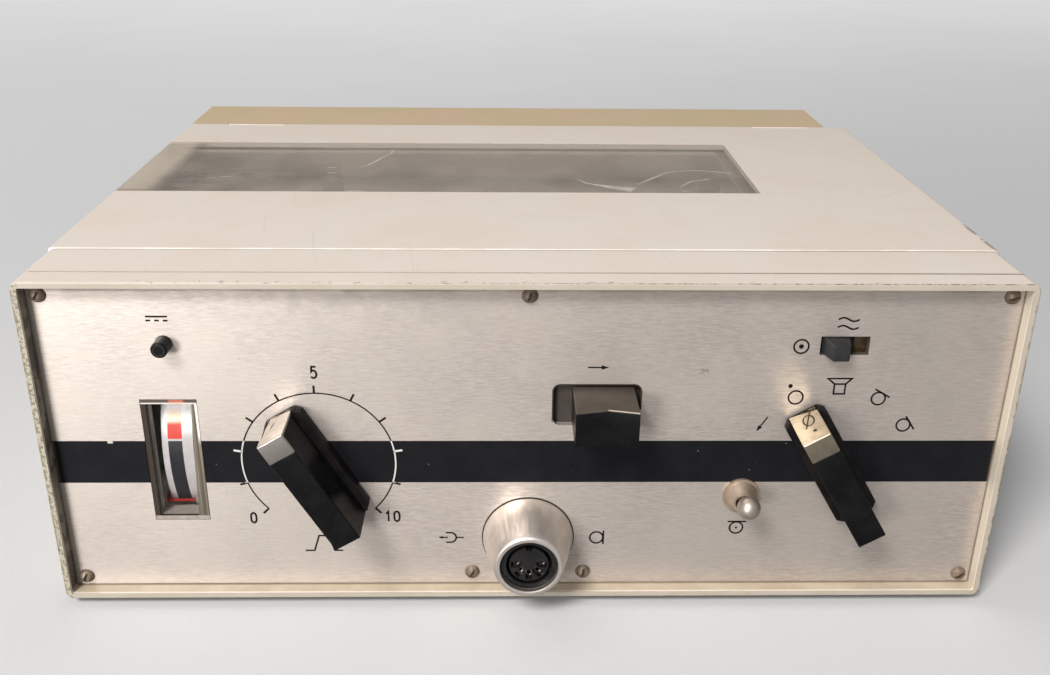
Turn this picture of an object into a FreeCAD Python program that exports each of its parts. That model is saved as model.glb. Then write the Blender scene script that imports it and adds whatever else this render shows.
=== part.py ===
"""Portable reel-to-reel tape recorder with a front control panel.

Working frame while modelling: x to the right, y back from the front edge of the bezel, z up from
the underside of the case, in millimetres. The finished pieces are moved so that the origin lies
at the middle of the footprint, on the surface that the feet stand on.
"""
import FreeCAD, Part
import math
import os
from FreeCAD import Placement, Rotation, Vector

os.makedirs("parts", exist_ok=True)

# Case
case_width = 280.0
case_height = 102.8
wall = 2.0
top_corner_radius = 2.5
bottom_corner_radius = 2.5
edge_gap = 0.3
touch_gap = 0.15

# Bezel and front panel
rim = 1.8
bezel_depth = 8.0
groove_width = 0.8
groove_depth = 1.0
bezel_frame = 8.5
panel_recess = 5.0
panel_thickness = 2.0
tongue_length = 3.0
tongue_wall = 1.2
bezel_edge_radius = 0.5

# Body behind the bezel
strip_length = 19.0
lid_length = 164.6
lid_skirt_height = 12.0
lid_corner_radius = 1.0
lid_front_edge_radius = 0.8
rear_wall = 1.5
bottom_flange = 10.0
bottom_plate_thickness = 1.5

# Lid window and hinges
window_length = 70.5
window_front_margin = 60.4
window_right_x = 81.7
window_lip = 5.0
window_lip_thickness = 1.4
hinge_roll_radius = 1.5
hinge_pin_radius = 0.8
hinge_running_gap = 0.05
hinge_leaf_width = 24.0
hinge_leaf_height = 9.0
hinge_leaf_thickness = 1.0
hinge_pin_overhang = 8.0
hinge_inset = 28.0

# Feet and case screws
foot_height = 2.5
foot_radius = 7.0
foot_inset_x = 24.0
foot_inset_y = 22.0
foot_taper = 0.8
screw_head_radius = 2.8
screw_head_height = 1.4
screw_radius = 1.5
screw_length = 4.0
screw_slot_width = 0.8
screw_slot_depth = 0.7
bottom_screw_turn = 25.0
deck_screw_turn = 40.0

# Panel screws: x from the middle, z, and the turn of the slot
panel_screw_radius = 2.3
panel_screw_dome = 2.0
panel_screw_inset_x = 5.3
panel_screw_top_inset = 5.4
panel_screw_bottom_inset = 5.0
socket_screw_spacing = 34.1
socket_screw_z = 6.1
panel_screw_turns = (62.0, 75.0, 20.0, 70.0, 35.0, 60.0, 80.0)

# Meter: its distance from the left side and how far it lies below the middle of the height
meter_inset = 36.85
meter_drop = 6.25
meter_width = 16.3
meter_height = 40.3
lens_thickness = 1.2
lens_depth = 6.0
meter_axis_drop = 1.45
scale_radius = 36.0
scale_setback = 3.2
scale_width = 9.1
scale_thickness = 0.8
scale_half_angle = 28.0
scale_tab = 2.0
housing_margin = 1.7
housing_depth = 50.0
housing_wall = 1.2
needle_radius = 36.9
needle_thickness = 0.4
needle_rest_angle = -24.5
needle_hub_radius = 4.0
needle_pivot_radius = 0.8

# Rotary controls and their bar knobs: places from the middle, from the right side and from mid-height
level_x = -61.4
level_drop = 6.6
level_rest_angle = -30.8
selector_inset = 50.8
selector_drop = 6.2
selector_rest_angle = -31.0
shaft_radius = 3.0
shaft_running_gap = 0.05
bush_radius = 3.5
bush_reach = 2.5
nut_across_flats = 8.5
nut_thickness = 1.8
level_body_radius = 12.0
level_body_depth = 14.0
selector_body_radius = 17.0
selector_wafer_thickness = 1.6
selector_wafer_pitch = 9.0
selector_wafer_count = 2
shaft_reach = 12.0

knob_height = 18.0
knob_half_length = 19.4
knob_half_width = 4.2
knob_skirt_half_width = 6.4
knob_skirt_height = 4.0
knob_skirt_chamfer = 1.7
knob_clearance = 0.6
knob_edge_radius = 0.4
knob_pocket_radius = 5.3
knob_pocket_depth = 3.2
cap_thickness = 0.8
cap_length = 6.4
cap_start = 1.0

# Battery test push button: distances from the left side and from the top
button_inset = 37.8
button_drop = 20.0
button_radius = 2.35
button_reach = 5.3
button_travel = 2.5
button_gap = 0.1
button_collar_radius = 3.4

# Transport button: its middle from the middle of the case
transport_x = 21.5
transport_lift = 12.05
transport_width = 17.8
transport_height = 10.9
transport_reach = 15.6
transport_crease = 2.0
transport_travel = 5.2
transport_slot_left = 7.1
transport_slot_right = 32.3
transport_slot_height = 12.9
transport_slot_radius = 2.0
slide_thickness = 2.0
slide_margin = 3.0

# Slide switch: distances from the right side and from the top
slide_switch_inset = 50.5
slide_switch_drop = 20.45
slide_slot_width = 14.0
slide_slot_height = 5.7
slide_knob_width = 7.6
slide_knob_front_width = 4.6
slide_knob_front_height = 4.9
slide_knob_reach = 5.8
slide_knob_left = 0.8
slide_knob_travel = 4.8

# Toggle switch: distances from the right side and below the middle of the height
toggle_inset = 75.9
toggle_drop = 18.1
toggle_flange_radius = 5.7
toggle_flange_thickness = 0.8
toggle_bush_base_radius = 5.0
toggle_bush_nose_radius = 3.2
toggle_bush_reach = 4.8
toggle_thread_radius = 3.5
toggle_ball_radius = 3.4
toggle_lever_length = 11.4
toggle_lever_radius = 1.2
toggle_knuckle_radius = 1.6
toggle_knuckle_half_length = 1.4
toggle_throw = 24.0

# Socket in its conical boss
socket_x = 0.3
socket_z = 18.6
boss_base_radius = 13.65
boss_nose_radius = 9.95
boss_reach = 16.1
socket_bore_radius = 8.6
socket_recess = 1.6
insert_length = 16.0
insert_gap = 0.05
contact_hole_radius = 1.0
contact_circle_radius = 3.75
contact_count = 5
contact_recess = 1.8
contact_slot_start = 2.0
contact_slot_end = 5.3
contact_slot_depth = 1.5
contact_tail = 4.0

# Tape deck
reel_diameter = 127.0
reel_spacing = 142.0
reel_clearance = 1.5
deck_drop = 22.8
deck_thickness = 2.0
deck_front = 24.0
deck_edge_gap = 0.5
pillar_radius = 4.0
pillar_inset_x = 16.0
pillar_front = 32.0
pillar_back_inset = 8.5

# Turntables and spindles
turntable_radius = 30.0
turntable_thickness = 3.5
turntable_rise = 5.0
spindle_radius = 3.9
spindle_reach = 13.4
spindle_fin = 1.0
spindle_fin_width = 1.4
spindle_fin_height = 4.5
spindle_neck_radius = 3.6
spindle_neck_height = 5.0
spindle_shaft_radius = 3.0
spindle_depth = 24.0
drum_radius = 16.0
drum_height = 6.0
drum_drop = 8.0
clutch_radius = 12.0
clutch_height = 4.0
bearing_radius = 6.0
bearing_flange_radius = 9.0
bearing_flange_thickness = 0.8
bearing_length = 6.0
thrust_gap = 0.3

# Capstan, flywheel and motor
capstan_x = 36.0
capstan_y = 54.0
capstan_radius = 2.5
capstan_rise = 17.0
flywheel_radius = 30.0
flywheel_height = 9.0
flywheel_drop = 9.0
bridge_drop = 32.0
bridge_thickness = 2.0
bridge_post_radius = 3.0
bridge_post_x = 31.0
bridge_post_y = 16.0
take_up_pulley_radius = 7.0
motor_x = -22.0
motor_y = 150.0
motor_radius = 18.0
motor_height = 42.0
motor_drop = 22.0
motor_shaft_radius = 1.5
motor_post_offset = 23.0
motor_pulley_radius = 6.0
motor_pulley_height = 7.0
motor_shaft_length = 19.0
belt_thickness = 1.0
belt_width = 3.0
belt_gap = 0.1

# Heads, guides and the pinch roller
head_width = 12.0
head_depth = 13.0
head_height = 15.0
head_spacing = 19.0
head_middle_x = -8.0
head_front_y = 51.3
head_nose = 1.6
bracket_thickness = 1.5
bracket_margin = 3.0
guide_radius = 2.5
guide_flange_radius = 4.5
guide_flange_thickness = 1.0
tape_rise = 7.8
tape_width = 6.4
guide_left_x = -62.0
guide_right_x = 82.0
guide_y = 46.0
pinch_pivot_x = 61.0
pinch_pivot_y = 47.0
pinch_pivot_radius = 3.0
pinch_arm_thickness = 1.6
pinch_arm_rise = 4.0
pinch_hub_radius = 6.0
pinch_roller_radius = 8.0
pinch_roller_height = 10.0
pinch_axle_radius = 1.5
pinch_open = 3.0
pinch_contact = 0.1

# Brake levers
brake_arm_length = 27.0
brake_pivot_radius = 2.0
brake_width = 7.0
brake_thickness = 2.5
brake_pad = 2.5
brake_gap = 0.3

# Circuit boards and loudspeaker
board_thickness = 1.6
board_rise = 8.0
board_post_radius = 2.5
left_board_inset = 12.0
left_board_width = 76.0
left_board_y = 56.0
left_board_length = 118.0
middle_board_x = -36.0
middle_board_width = 80.0
middle_board_y = 88.0
middle_board_length = 36.0
left_board_blocks = ((12.0, 12.0, 24.0, 20.0, 18.0), (44.0, 14.0, 18.0, 16.0, 14.0),
                     (10.0, 92.0, 20.0, 14.0, 12.0))
left_board_cans = ((18.0, 48.0, 6.0, 22.0), (34.0, 48.0, 6.0, 22.0), (50.0, 48.0, 5.0, 18.0),
                   (64.0, 48.0, 5.0, 18.0), (16.0, 74.0, 4.0, 9.0), (30.0, 74.0, 4.0, 9.0),
                   (44.0, 92.0, 7.0, 28.0), (64.0, 92.0, 7.0, 28.0))
middle_board_blocks = ((40.0, 8.0, 16.0, 20.0, 14.0),)
middle_board_cans = ((16.0, 18.0, 6.0, 20.0), (30.0, 18.0, 4.0, 9.0), (66.0, 12.0, 4.0, 9.0),
                     (66.0, 24.0, 4.0, 9.0))
speaker_inset = 48.0
speaker_y = 132.0
speaker_radius = 33.0
speaker_frame_height = 9.0
speaker_magnet_radius = 15.0
speaker_magnet_height = 12.0
grille_slot_width = 3.0
grille_slot_pitch = 7.0
grille_slot_length = 46.0
grille_slot_count = 7

# Battery box
battery_box_depth = 38.0
battery_box_inset = 8.0
battery_box_drop = 0.5
battery_wall = 1.6
battery_radius = 16.7
battery_length = 60.6
battery_nub_radius = 4.0
battery_nub_height = 1.2
battery_rows = 2
battery_shelf = 2.0
battery_contact_thickness = 0.6
battery_spring_radius = 6.0
battery_spring_wall = 0.8
battery_spring_length = 3.4
battery_contact_size = 18.0
door_top_margin = 12.8
door_margin = 6.0
door_gap = 0.4
door_barrel_radius = 1.3
door_pin_radius = 0.7
door_pin_length = 8.0
door_ear = 3.0
door_notch_radius = 9.0

# Places worked out from the sizes above
half_width = case_width / 2
mid_height = case_height / 2
meter_x = meter_inset - half_width
meter_z = mid_height - meter_drop
meter_axis_z = meter_z - meter_axis_drop
level_z = mid_height - level_drop
selector_x = half_width - selector_inset
selector_z = mid_height - selector_drop
button_x = button_inset - half_width
button_z = case_height - button_drop
transport_z = mid_height + transport_lift
slide_switch_x = half_width - slide_switch_inset
slide_switch_z = case_height - slide_switch_drop
toggle_x = half_width - toggle_inset
toggle_z = mid_height - toggle_drop
left_board_x = left_board_inset - half_width
speaker_x = half_width - speaker_inset
panel_front = panel_recess
panel_back = panel_recess + panel_thickness
body_front = bezel_depth + groove_width
strip_back = body_front + strip_length
lid_front = strip_back + edge_gap
lid_back = lid_front + lid_length
case_rear = lid_back + edge_gap
rear_inside = case_rear - rear_wall
back_face = case_rear + battery_box_depth
lid_parting = case_height - lid_skirt_height
side_wall_top = lid_parting - edge_gap
window_front = lid_front + window_front_margin
window_back = window_front + window_length
hinge_y = lid_back - hinge_roll_radius
hinge_z = case_height - hinge_roll_radius
floor_top = wall + bottom_plate_thickness
deck_top = case_height - deck_drop
deck_bottom = deck_top - deck_thickness
spindle_y = rear_inside - reel_clearance - reel_diameter / 2
turntable_top = deck_top + turntable_rise
turntable_bottom = turntable_top - turntable_thickness
bearing_top = deck_top + bearing_flange_thickness
flywheel_top = deck_bottom - flywheel_drop
flywheel_bottom = flywheel_top - flywheel_height
bridge_top = deck_top - bridge_drop
motor_top = deck_bottom - motor_drop + bridge_thickness
belt_low = flywheel_bottom + (flywheel_height - belt_width) / 2
take_up_belt_low = flywheel_bottom - clutch_height
front_reach = max(knob_height, boss_reach, transport_reach) - panel_recess

origin_shift = Vector(0, (front_reach - back_face) / 2, foot_height)


def save(name, *solids):
    """Moves the solids to the part's own frame and writes them as one node."""
    moved = []
    for solid in solids:
        copy = solid.copy()
        copy.translate(origin_shift)
        moved.append(copy)
    shape = moved[0] if len(moved) == 1 else Part.makeCompound(moved)
    shape.exportStep("parts/" + name + ".step")


def box(x0, x1, y0, y1, z0, z1):
    """A block between two x, two y and two z values."""
    return Part.makeBox(x1 - x0, y1 - y0, z1 - z0, Vector(x0, y0, z0))


def rod_x(y, z, x0, x1, radius):
    """A round rod along x."""
    return Part.makeCylinder(radius, x1 - x0, Vector(x0, y, z), Vector(1, 0, 0))


def rod_y(x, z, y0, y1, radius):
    """A round rod along y."""
    return Part.makeCylinder(radius, y1 - y0, Vector(x, y0, z), Vector(0, 1, 0))


def rod_z(x, y, z0, z1, radius):
    """A round rod along z."""
    return Part.makeCylinder(radius, z1 - z0, Vector(x, y, z0), Vector(0, 0, 1))


def join(first, *others):
    """The pieces as one solid with no seams left between them."""
    shape = first
    for other in others:
        shape = shape.fuse(other)
    return shape.removeSplitter()


def carve(first, *others):
    """The first piece with the others taken away."""
    shape = first
    for other in others:
        shape = shape.cut(other)
    return shape


def polygon_prism(points, direction):
    """A straight prism over a closed outline of points."""
    wire = Part.makePolygon(list(points) + [points[0]])
    return Part.Face(wire).extrude(direction)


def turned_y(x, z, profile):
    """A solid of revolution about a line along y: the profile lists radius and y."""
    points = [Vector(radius, y, 0) for radius, y in profile]
    face = Part.Face(Part.makePolygon(points + [points[0]]))
    solid = face.revolve(Vector(0, 0, 0), Vector(0, 1, 0), 360)
    solid.translate(Vector(x, 0, z))
    return solid


def rounded_plate(x0, x1, z0, z1, y0, y1, low_radius, high_radius):
    """A plate facing y whose lower and upper corners are rounded."""
    low = min(low_radius, (z1 - z0) / 2.01, (x1 - x0) / 2.01)
    high = min(high_radius, (z1 - z0) / 2.01, (x1 - x0) / 2.01)
    plate = box(x0, x1, y0, y1, z0, z1)
    for radius, level in ((low, z0), (high, z1)):
        if radius <= 0:
            continue
        edges = [edge for edge in plate.Edges
                 if all(abs(vertex.Z - level) < 1e-6 for vertex in edge.Vertexes)
                 and abs(edge.Vertexes[0].Y - edge.Vertexes[-1].Y) > (y1 - y0) / 2]
        plate = plate.makeFillet(radius, edges)
    return plate


def case_section(inset, y0, y1, upper_radius=top_corner_radius):
    """The outline of the case, drawn in by the inset, from y0 to y1."""
    return rounded_plate(-half_width + inset, half_width - inset, inset, case_height - inset, y0, y1,
                         max(bottom_corner_radius - inset, 0.5), max(upper_radius - inset, 0.5))


def edges_at_y(shape, y):
    """The edges of a shape that lie in the plane at y."""
    return [edge for edge in shape.Edges
            if all(abs(vertex.Y - y) < 1e-6 for vertex in edge.Vertexes)
            and abs(edge.BoundBox.YMax - edge.BoundBox.YMin) < 1e-6]


def turn_about_y(shape, angle, x, z):
    """Turns a shape clockwise, seen from the front, and sets it at x and z."""
    turned = shape.copy()
    turned.Placement = Placement(Vector(x, 0, z), Rotation(Vector(0, 1, 0), angle))
    return turned


def slotted_screw(x, y, z, axis, turn, head_radius, head_height, dome, body_radius, body_length):
    """A slotted screw whose head stands out along the axis from the point."""
    head = Part.makeCylinder(head_radius, head_height)
    if dome:
        ball_radius = (head_radius ** 2 + head_height ** 2) / (2 * head_height)
        ball = Part.makeSphere(ball_radius, Vector(0, 0, head_height - ball_radius))
        head = head.common(ball)
    body = Part.makeCylinder(body_radius, body_length, Vector(0, 0, -body_length))
    slot = Part.makeBox(3 * head_radius, screw_slot_width, screw_slot_depth,
                        Vector(-1.5 * head_radius, -screw_slot_width / 2, head_height - screw_slot_depth))
    screw = join(head, body).cut(slot)
    spin = Rotation(Vector(0, 0, 1), turn)
    aim = Rotation(Vector(0, 0, 1), Vector(*axis))
    screw.Placement = Placement(Vector(x, y, z), aim.multiply(spin))
    return screw


def panel_screw_places():
    """The x and z of the five screws round the panel and the two beside the socket."""
    side = half_width - panel_screw_inset_x
    top = case_height - panel_screw_top_inset
    low = panel_screw_bottom_inset
    beside = socket_screw_spacing / 2
    return [(-side, top), (0, top), (side, top), (-side, low), (side, low),
            (socket_x - beside, socket_screw_z), (socket_x + beside, socket_screw_z)]


def pillar_places():
    """The x and y of the four pillars that carry the deck."""
    side = half_width - pillar_inset_x
    back = rear_inside - pillar_back_inset
    return [(x, y) for x in (-side, side) for y in (pillar_front, back)]


def bottom_screw_places():
    """The x and y of the screws through the bottom flange."""
    side = half_width - wall - bottom_flange / 2
    front = body_front + tongue_length + bottom_flange
    back = rear_inside - bottom_flange
    return [(x, y) for x in (-side, side) for y in (front, (front + back) / 2, back)]


def front_bezel():
    """The frame round the panel, with the neck that leaves the groove and a tongue for the body."""
    ring = case_section(0, 0, bezel_depth)
    ring = ring.makeFillet(bezel_edge_radius, edges_at_y(ring, 0))
    neck = case_section(groove_depth, bezel_depth, body_front)
    tongue_end = body_front + tongue_length
    tongue = case_section(wall + touch_gap, body_front, tongue_end)
    tongue = tongue.cut(case_section(wall + touch_gap + tongue_wall, body_front - 1, tongue_end + 1))
    opening = case_section(bezel_frame, -1, body_front)
    seat = case_section(rim, -1, panel_back)
    socket_space = rod_y(socket_x, socket_z, panel_back, body_front + tongue_length,
                         boss_base_radius + touch_gap)
    holes = [rod_y(x, z, panel_back, body_front, panel_screw_radius / 2)
             for x, z in panel_screw_places()]
    return join(carve(join(ring, neck), opening, seat, *holes), tongue).cut(socket_space)


def front_panel():
    """The flat panel with its cut-outs."""
    panel = case_section(rim + touch_gap, panel_front, panel_back)
    low, high = panel_front - 1, panel_back + 1
    half_slot = transport_slot_height / 2
    cuts = [
        box(meter_x - meter_width / 2, meter_x + meter_width / 2, low, high,
            meter_z - meter_height / 2, meter_z + meter_height / 2),
        rod_y(button_x, button_z, low, high, button_radius + button_gap),
        rod_y(level_x, level_z, low, high, bush_radius + touch_gap),
        rod_y(selector_x, selector_z, low, high, bush_radius + touch_gap),
        rod_y(toggle_x, toggle_z, low, high, toggle_thread_radius + touch_gap),
        rod_y(socket_x, socket_z, low, high, boss_nose_radius + touch_gap),
        rounded_plate(transport_slot_left, transport_slot_right, transport_z - half_slot,
                      transport_z + half_slot, low, high, transport_slot_radius, transport_slot_radius),
        box(slide_switch_x - slide_slot_width / 2, slide_switch_x + slide_slot_width / 2, low, high,
            slide_switch_z - slide_slot_height / 2, slide_switch_z + slide_slot_height / 2),
    ]
    cuts += [rod_y(x, z, low, high, panel_screw_radius / 2 + touch_gap) for x, z in panel_screw_places()]
    return carve(panel, *cuts)


def panel_screws():
    """The slotted screws with domed heads."""
    length = body_front - panel_front - touch_gap
    return [slotted_screw(x, panel_front, z, (0, -1, 0), turn, panel_screw_radius, panel_screw_dome, True,
                          panel_screw_radius / 2, length)
            for (x, z), turn in zip(panel_screw_places(), panel_screw_turns)]


def case_shell():
    """The body: side walls, the fixed strip in front of the lid, the rear wall and a bottom flange."""
    side = half_width + 1
    inside = half_width - wall
    rear_wall_top = hinge_z - hinge_roll_radius - edge_gap
    shell = case_section(0, body_front, case_rear)
    shell = shell.cut(case_section(wall, body_front - 1, rear_inside))
    flange = box(-inside, inside, strip_back - wall, strip_back, side_wall_top - wall, case_height - wall)
    ledge = box(-inside, inside, strip_back - wall, strip_back + 2 * wall,
                side_wall_top - wall, side_wall_top)
    cuts = [
        box(-side, side, strip_back, rear_inside, side_wall_top, case_height + 1),
        box(-side, side, rear_inside, case_rear + 1, rear_wall_top, case_height + 1),
        box(-side, -inside + edge_gap, rear_inside - 1, case_rear + 1, side_wall_top, case_height),
        box(inside - edge_gap, side, rear_inside - 1, case_rear + 1, side_wall_top, case_height),
        box(-inside + bottom_flange, inside - bottom_flange, body_front + tongue_length + bottom_flange,
            rear_inside - bottom_flange, -1, wall + 1),
    ]
    cuts += [rod_z(x, y, -1, wall + 1, screw_radius) for x, y in bottom_screw_places()]
    return join(carve(join(shell, flange), *cuts), ledge)


def bottom_plate():
    """The plate that closes the bottom, with slots under the loudspeaker."""
    edge = half_width - bottom_corner_radius - touch_gap
    plate = box(-edge, edge, body_front + tongue_length + touch_gap, rear_inside - touch_gap, wall, floor_top)
    middle = (grille_slot_count - 1) / 2
    cuts = [rod_z(x, y, wall - 1, floor_top + 1, screw_radius) for x, y in bottom_screw_places()]
    for index in range(grille_slot_count):
        x = speaker_x + (index - middle) * grille_slot_pitch
        cuts.append(box(x - grille_slot_width / 2, x + grille_slot_width / 2,
                        speaker_y - grille_slot_length / 2, speaker_y + grille_slot_length / 2,
                        wall - 1, floor_top + 1))
    return carve(plate, *cuts)


def case_screws():
    """The identical screws of the bottom flange and of the deck."""
    screws = []
    for index, (x, y) in enumerate(bottom_screw_places()):
        screws.append(slotted_screw(x, y, 0, (0, 0, -1), bottom_screw_turn * index, screw_head_radius,
                                    screw_head_height, False, screw_radius, screw_length))
    for index, (x, y) in enumerate(pillar_places()):
        screws.append(slotted_screw(x, y, deck_top, (0, 0, 1), deck_screw_turn * index, screw_head_radius,
                                    screw_head_height, False, screw_radius, screw_length))
    return screws


def rubber_feet():
    """Four tapered feet on the bottom plate."""
    feet = []
    side = half_width - foot_inset_x
    front = body_front + foot_inset_y
    back = rear_inside - foot_inset_y
    height = foot_height + wall
    for x in (-side, side):
        for y in (front, back):
            foot = Part.makeCone(foot_radius - foot_taper, foot_radius, height, Vector(x, y, -foot_height))
            feet.append(foot)
    return feet


def lid_shell():
    """The lid with its skirts, the window opening and the rolled hinge edge."""
    lid = case_section(0, lid_front, hinge_y, lid_corner_radius)
    top_edge = [edge for edge in edges_at_y(lid, lid_front)
                if all(vertex.Z > case_height - lid_corner_radius - 1e-3 for vertex in edge.Vertexes)]
    lid = lid.makeFillet(lid_front_edge_radius, top_edge)
    lid = lid.cut(case_section(wall, lid_front + wall, hinge_y + 1, lid_corner_radius))
    roll_end = half_width - 3 * wall
    roll = rod_x(hinge_y, hinge_z, -roll_end, roll_end, hinge_roll_radius)
    side = half_width + 1
    cuts = [
        box(-side, side, lid_front - 1, lid_back + 1, -1, lid_parting),
        box(-side, window_right_x, window_front, window_back, lid_parting - 1, case_height + 1),
    ]
    for x in (-half_width + hinge_inset, half_width - hinge_inset):
        reach = hinge_leaf_width / 2 + edge_gap
        pin_reach = reach + hinge_pin_overhang
        notch_front = hinge_y - hinge_roll_radius - edge_gap
        cuts.append(box(x - reach, x + reach, notch_front, lid_back + 1, lid_parting - 1, case_height + 1))
        cuts.append(rod_x(hinge_y, hinge_z, x - pin_reach, x + pin_reach,
                          hinge_pin_radius + hinge_running_gap))
    return carve(join(lid, roll), *cuts)


def lid_window():
    """The clear sheet: flush with the lid, bent down at the left side, with a lip glued inside."""
    front = window_front + touch_gap
    back = window_back - touch_gap
    right = window_right_x - touch_gap
    under = case_height - wall
    sheet = case_section(0, front, back, lid_corner_radius)
    sheet = sheet.cut(case_section(wall, front - 1, back + 1, lid_corner_radius))
    sheet = carve(sheet, box(right, half_width + 1, front - 1, back + 1, -1, case_height + 1),
                  box(-half_width - 1, half_width + 1, front - 1, back + 1, -1, lid_parting))
    left = -half_width + 3 * wall
    overlap = 2 * wall
    lip = box(left, window_right_x + window_lip, window_front - window_lip, window_back + window_lip,
              under - window_lip_thickness, under)
    lip = lip.cut(box(left - 1, right - overlap, front + overlap, back - overlap, 0, under + 1))
    return join(sheet, lip)


def lid_hinges():
    """Two leaves with their knuckles on the rear wall, and the pins that they hold."""
    solids = []
    for x in (-half_width + hinge_inset, half_width - hinge_inset):
        half = hinge_leaf_width / 2
        leaf = box(x - half, x + half, rear_inside - hinge_leaf_thickness, rear_inside,
                   hinge_z - hinge_leaf_height, hinge_z)
        knuckle = rod_x(hinge_y, hinge_z, x - half, x + half, hinge_roll_radius)
        reach = half + hinge_pin_overhang
        pin = rod_x(hinge_y, hinge_z, x - reach, x + reach, hinge_pin_radius)
        solids += [join(leaf, knuckle).cut(pin), pin]
    return solids


def meter_lens():
    """The clear cap in the meter cut-out, open at the back."""
    half_x = meter_width / 2 - touch_gap
    half_z = meter_height / 2 - touch_gap
    cap = box(meter_x - half_x, meter_x + half_x, panel_front, panel_front + lens_depth,
              meter_z - half_z, meter_z + half_z)
    half_x -= lens_thickness
    half_z -= lens_thickness
    hollow = box(meter_x - half_x, meter_x + half_x, panel_front + lens_thickness,
                 panel_front + lens_depth + 1, meter_z - half_z, meter_z + half_z)
    flange_x = housing_half_width()
    flange_z = meter_height / 2 + housing_margin - housing_wall
    flange = box(meter_x - flange_x, meter_x + flange_x, panel_back, panel_back + lens_thickness,
                 meter_z - flange_z, meter_z + flange_z)
    return join(cap, flange).cut(hollow)


def meter_axis_y():
    """How far back the meter movement turns."""
    return panel_front + scale_setback + scale_radius


def wedge_x(y, z, x0, x1, reach, low_angle, high_angle):
    """A wedge about a line along x, open towards the front, between two angles above level."""
    points = [Vector(x0, y, z)]
    for angle in (low_angle, (low_angle + high_angle) / 2, high_angle):
        turn = math.radians(angle)
        points.append(Vector(x0, y - reach * math.cos(turn), z + reach * math.sin(turn)))
    return polygon_prism(points, Vector(x1 - x0, 0, 0))


def housing_half_width():
    """Half the width of the space inside the meter housing."""
    return meter_width / 2 + housing_margin - housing_wall


def meter_scale():
    """The curved scale, held by two tabs at its right edge."""
    y = meter_axis_y()
    x0 = meter_x - scale_width / 2
    x1 = meter_x + scale_width / 2
    ring = rod_x(y, meter_axis_z, x0, x1, scale_radius).cut(
        rod_x(y, meter_axis_z, x0 - 1, x1 + 1, scale_radius - scale_thickness))
    scale = ring.common(wedge_x(y, meter_axis_z, x0, x1, 2 * scale_radius, -scale_half_angle,
                                scale_half_angle))
    turn = math.radians(scale_half_angle)
    tab_y = y - scale_radius * math.cos(turn)
    tab_z = scale_radius * math.sin(turn)
    for direction in (-1, 1):
        edges = sorted((meter_axis_z + direction * tab_z, meter_axis_z + direction * (tab_z - scale_tab)))
        tab = box(x1 - scale_tab, meter_x + housing_half_width(), tab_y - scale_tab / 2, tab_y + scale_tab,
                  edges[0], edges[1])
        scale = scale.fuse(tab)
    return scale.removeSplitter()


def meter_housing():
    """The box behind the panel with the pivot and the magnet of the movement."""
    half_x = meter_width / 2 + housing_margin
    half_z = meter_height / 2 + housing_margin
    back = panel_back + housing_depth
    shell = box(meter_x - half_x, meter_x + half_x, panel_back, back, meter_z - half_z, meter_z + half_z)
    half_x -= housing_wall
    half_z -= housing_wall
    hollow = box(meter_x - half_x, meter_x + half_x, panel_back - 1, back - housing_wall,
                 meter_z - half_z, meter_z + half_z)
    pivot = rod_x(meter_axis_y(), meter_axis_z, meter_x - half_x, meter_x + half_x, needle_pivot_radius)
    magnet_front = meter_axis_y() + 2 * needle_hub_radius
    magnet = box(meter_x - needle_hub_radius, meter_x + needle_hub_radius, magnet_front,
                 back - housing_wall, meter_axis_z - 2 * needle_hub_radius,
                 meter_axis_z + 2 * needle_hub_radius)
    return join(shell.cut(hollow), pivot, magnet)


def meter_needle():
    """The pointer: a coil on the pivot, an arm beside the scale and a bar across it."""
    y = meter_axis_y()
    left = meter_x - scale_width / 2 - touch_gap - 3 * needle_thickness
    arm_end = left + needle_thickness
    hub = rod_x(y, meter_axis_z, left, meter_x + scale_width / 4, needle_hub_radius)
    arm = box(left, arm_end, y - needle_radius - needle_thickness / 2, y, meter_axis_z - 2 * needle_thickness,
              meter_axis_z + 2 * needle_thickness)
    tip = box(left, meter_x + scale_width / 4, y - needle_radius - needle_thickness / 2,
              y - needle_radius + needle_thickness / 2, meter_axis_z - needle_thickness,
              meter_axis_z + needle_thickness)
    needle = join(hub, arm, tip).cut(rod_x(y, meter_axis_z, left - 1, meter_x + half_width,
                                           needle_pivot_radius + shaft_running_gap))
    needle.rotate(Vector(meter_x, y, meter_axis_z), Vector(1, 0, 0), -needle_rest_angle)
    return needle


def hexagon_nut(x, z, y0, y1, across_flats):
    """A six-sided nut facing y."""
    reach = across_flats / 2 / math.cos(math.pi / 6)
    points = [Vector(x + reach * math.cos(math.radians(turn)), y0, z + reach * math.sin(math.radians(turn)))
              for turn in range(0, 360, 60)]
    return polygon_prism(points, Vector(0, y1 - y0, 0))


def bush_and_nut(x, z):
    """The threaded bush through the panel and its nut on the front."""
    bush = rod_y(x, z, panel_front - bush_reach, panel_back, bush_radius)
    return bush.fuse(hexagon_nut(x, z, panel_front - nut_thickness, panel_front, nut_across_flats))


def level_control():
    """The volume control behind the panel, with three solder tags."""
    end = panel_back + level_body_depth
    body = rod_y(level_x, level_z, panel_back, end, level_body_radius)
    body = join(body, bush_and_nut(level_x, level_z))
    tag = level_body_radius / 4
    for offset in (-2 * tag, 0, 2 * tag):
        x = level_x + offset
        body = body.fuse(box(x - tag / 2, x + tag / 2, end - 2 * tag, end - tag,
                             level_z - level_body_radius - tag, level_z - level_body_radius / 2))
    bore = rod_y(level_x, level_z, panel_front - bush_reach - 1, end - wall,
                 shaft_radius + shaft_running_gap)
    return body.removeSplitter().cut(bore)


def selector_switch_end():
    """The depth of the last wafer of the selector switch."""
    return panel_back + 3 * selector_wafer_thickness + selector_wafer_pitch * selector_wafer_count


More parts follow.
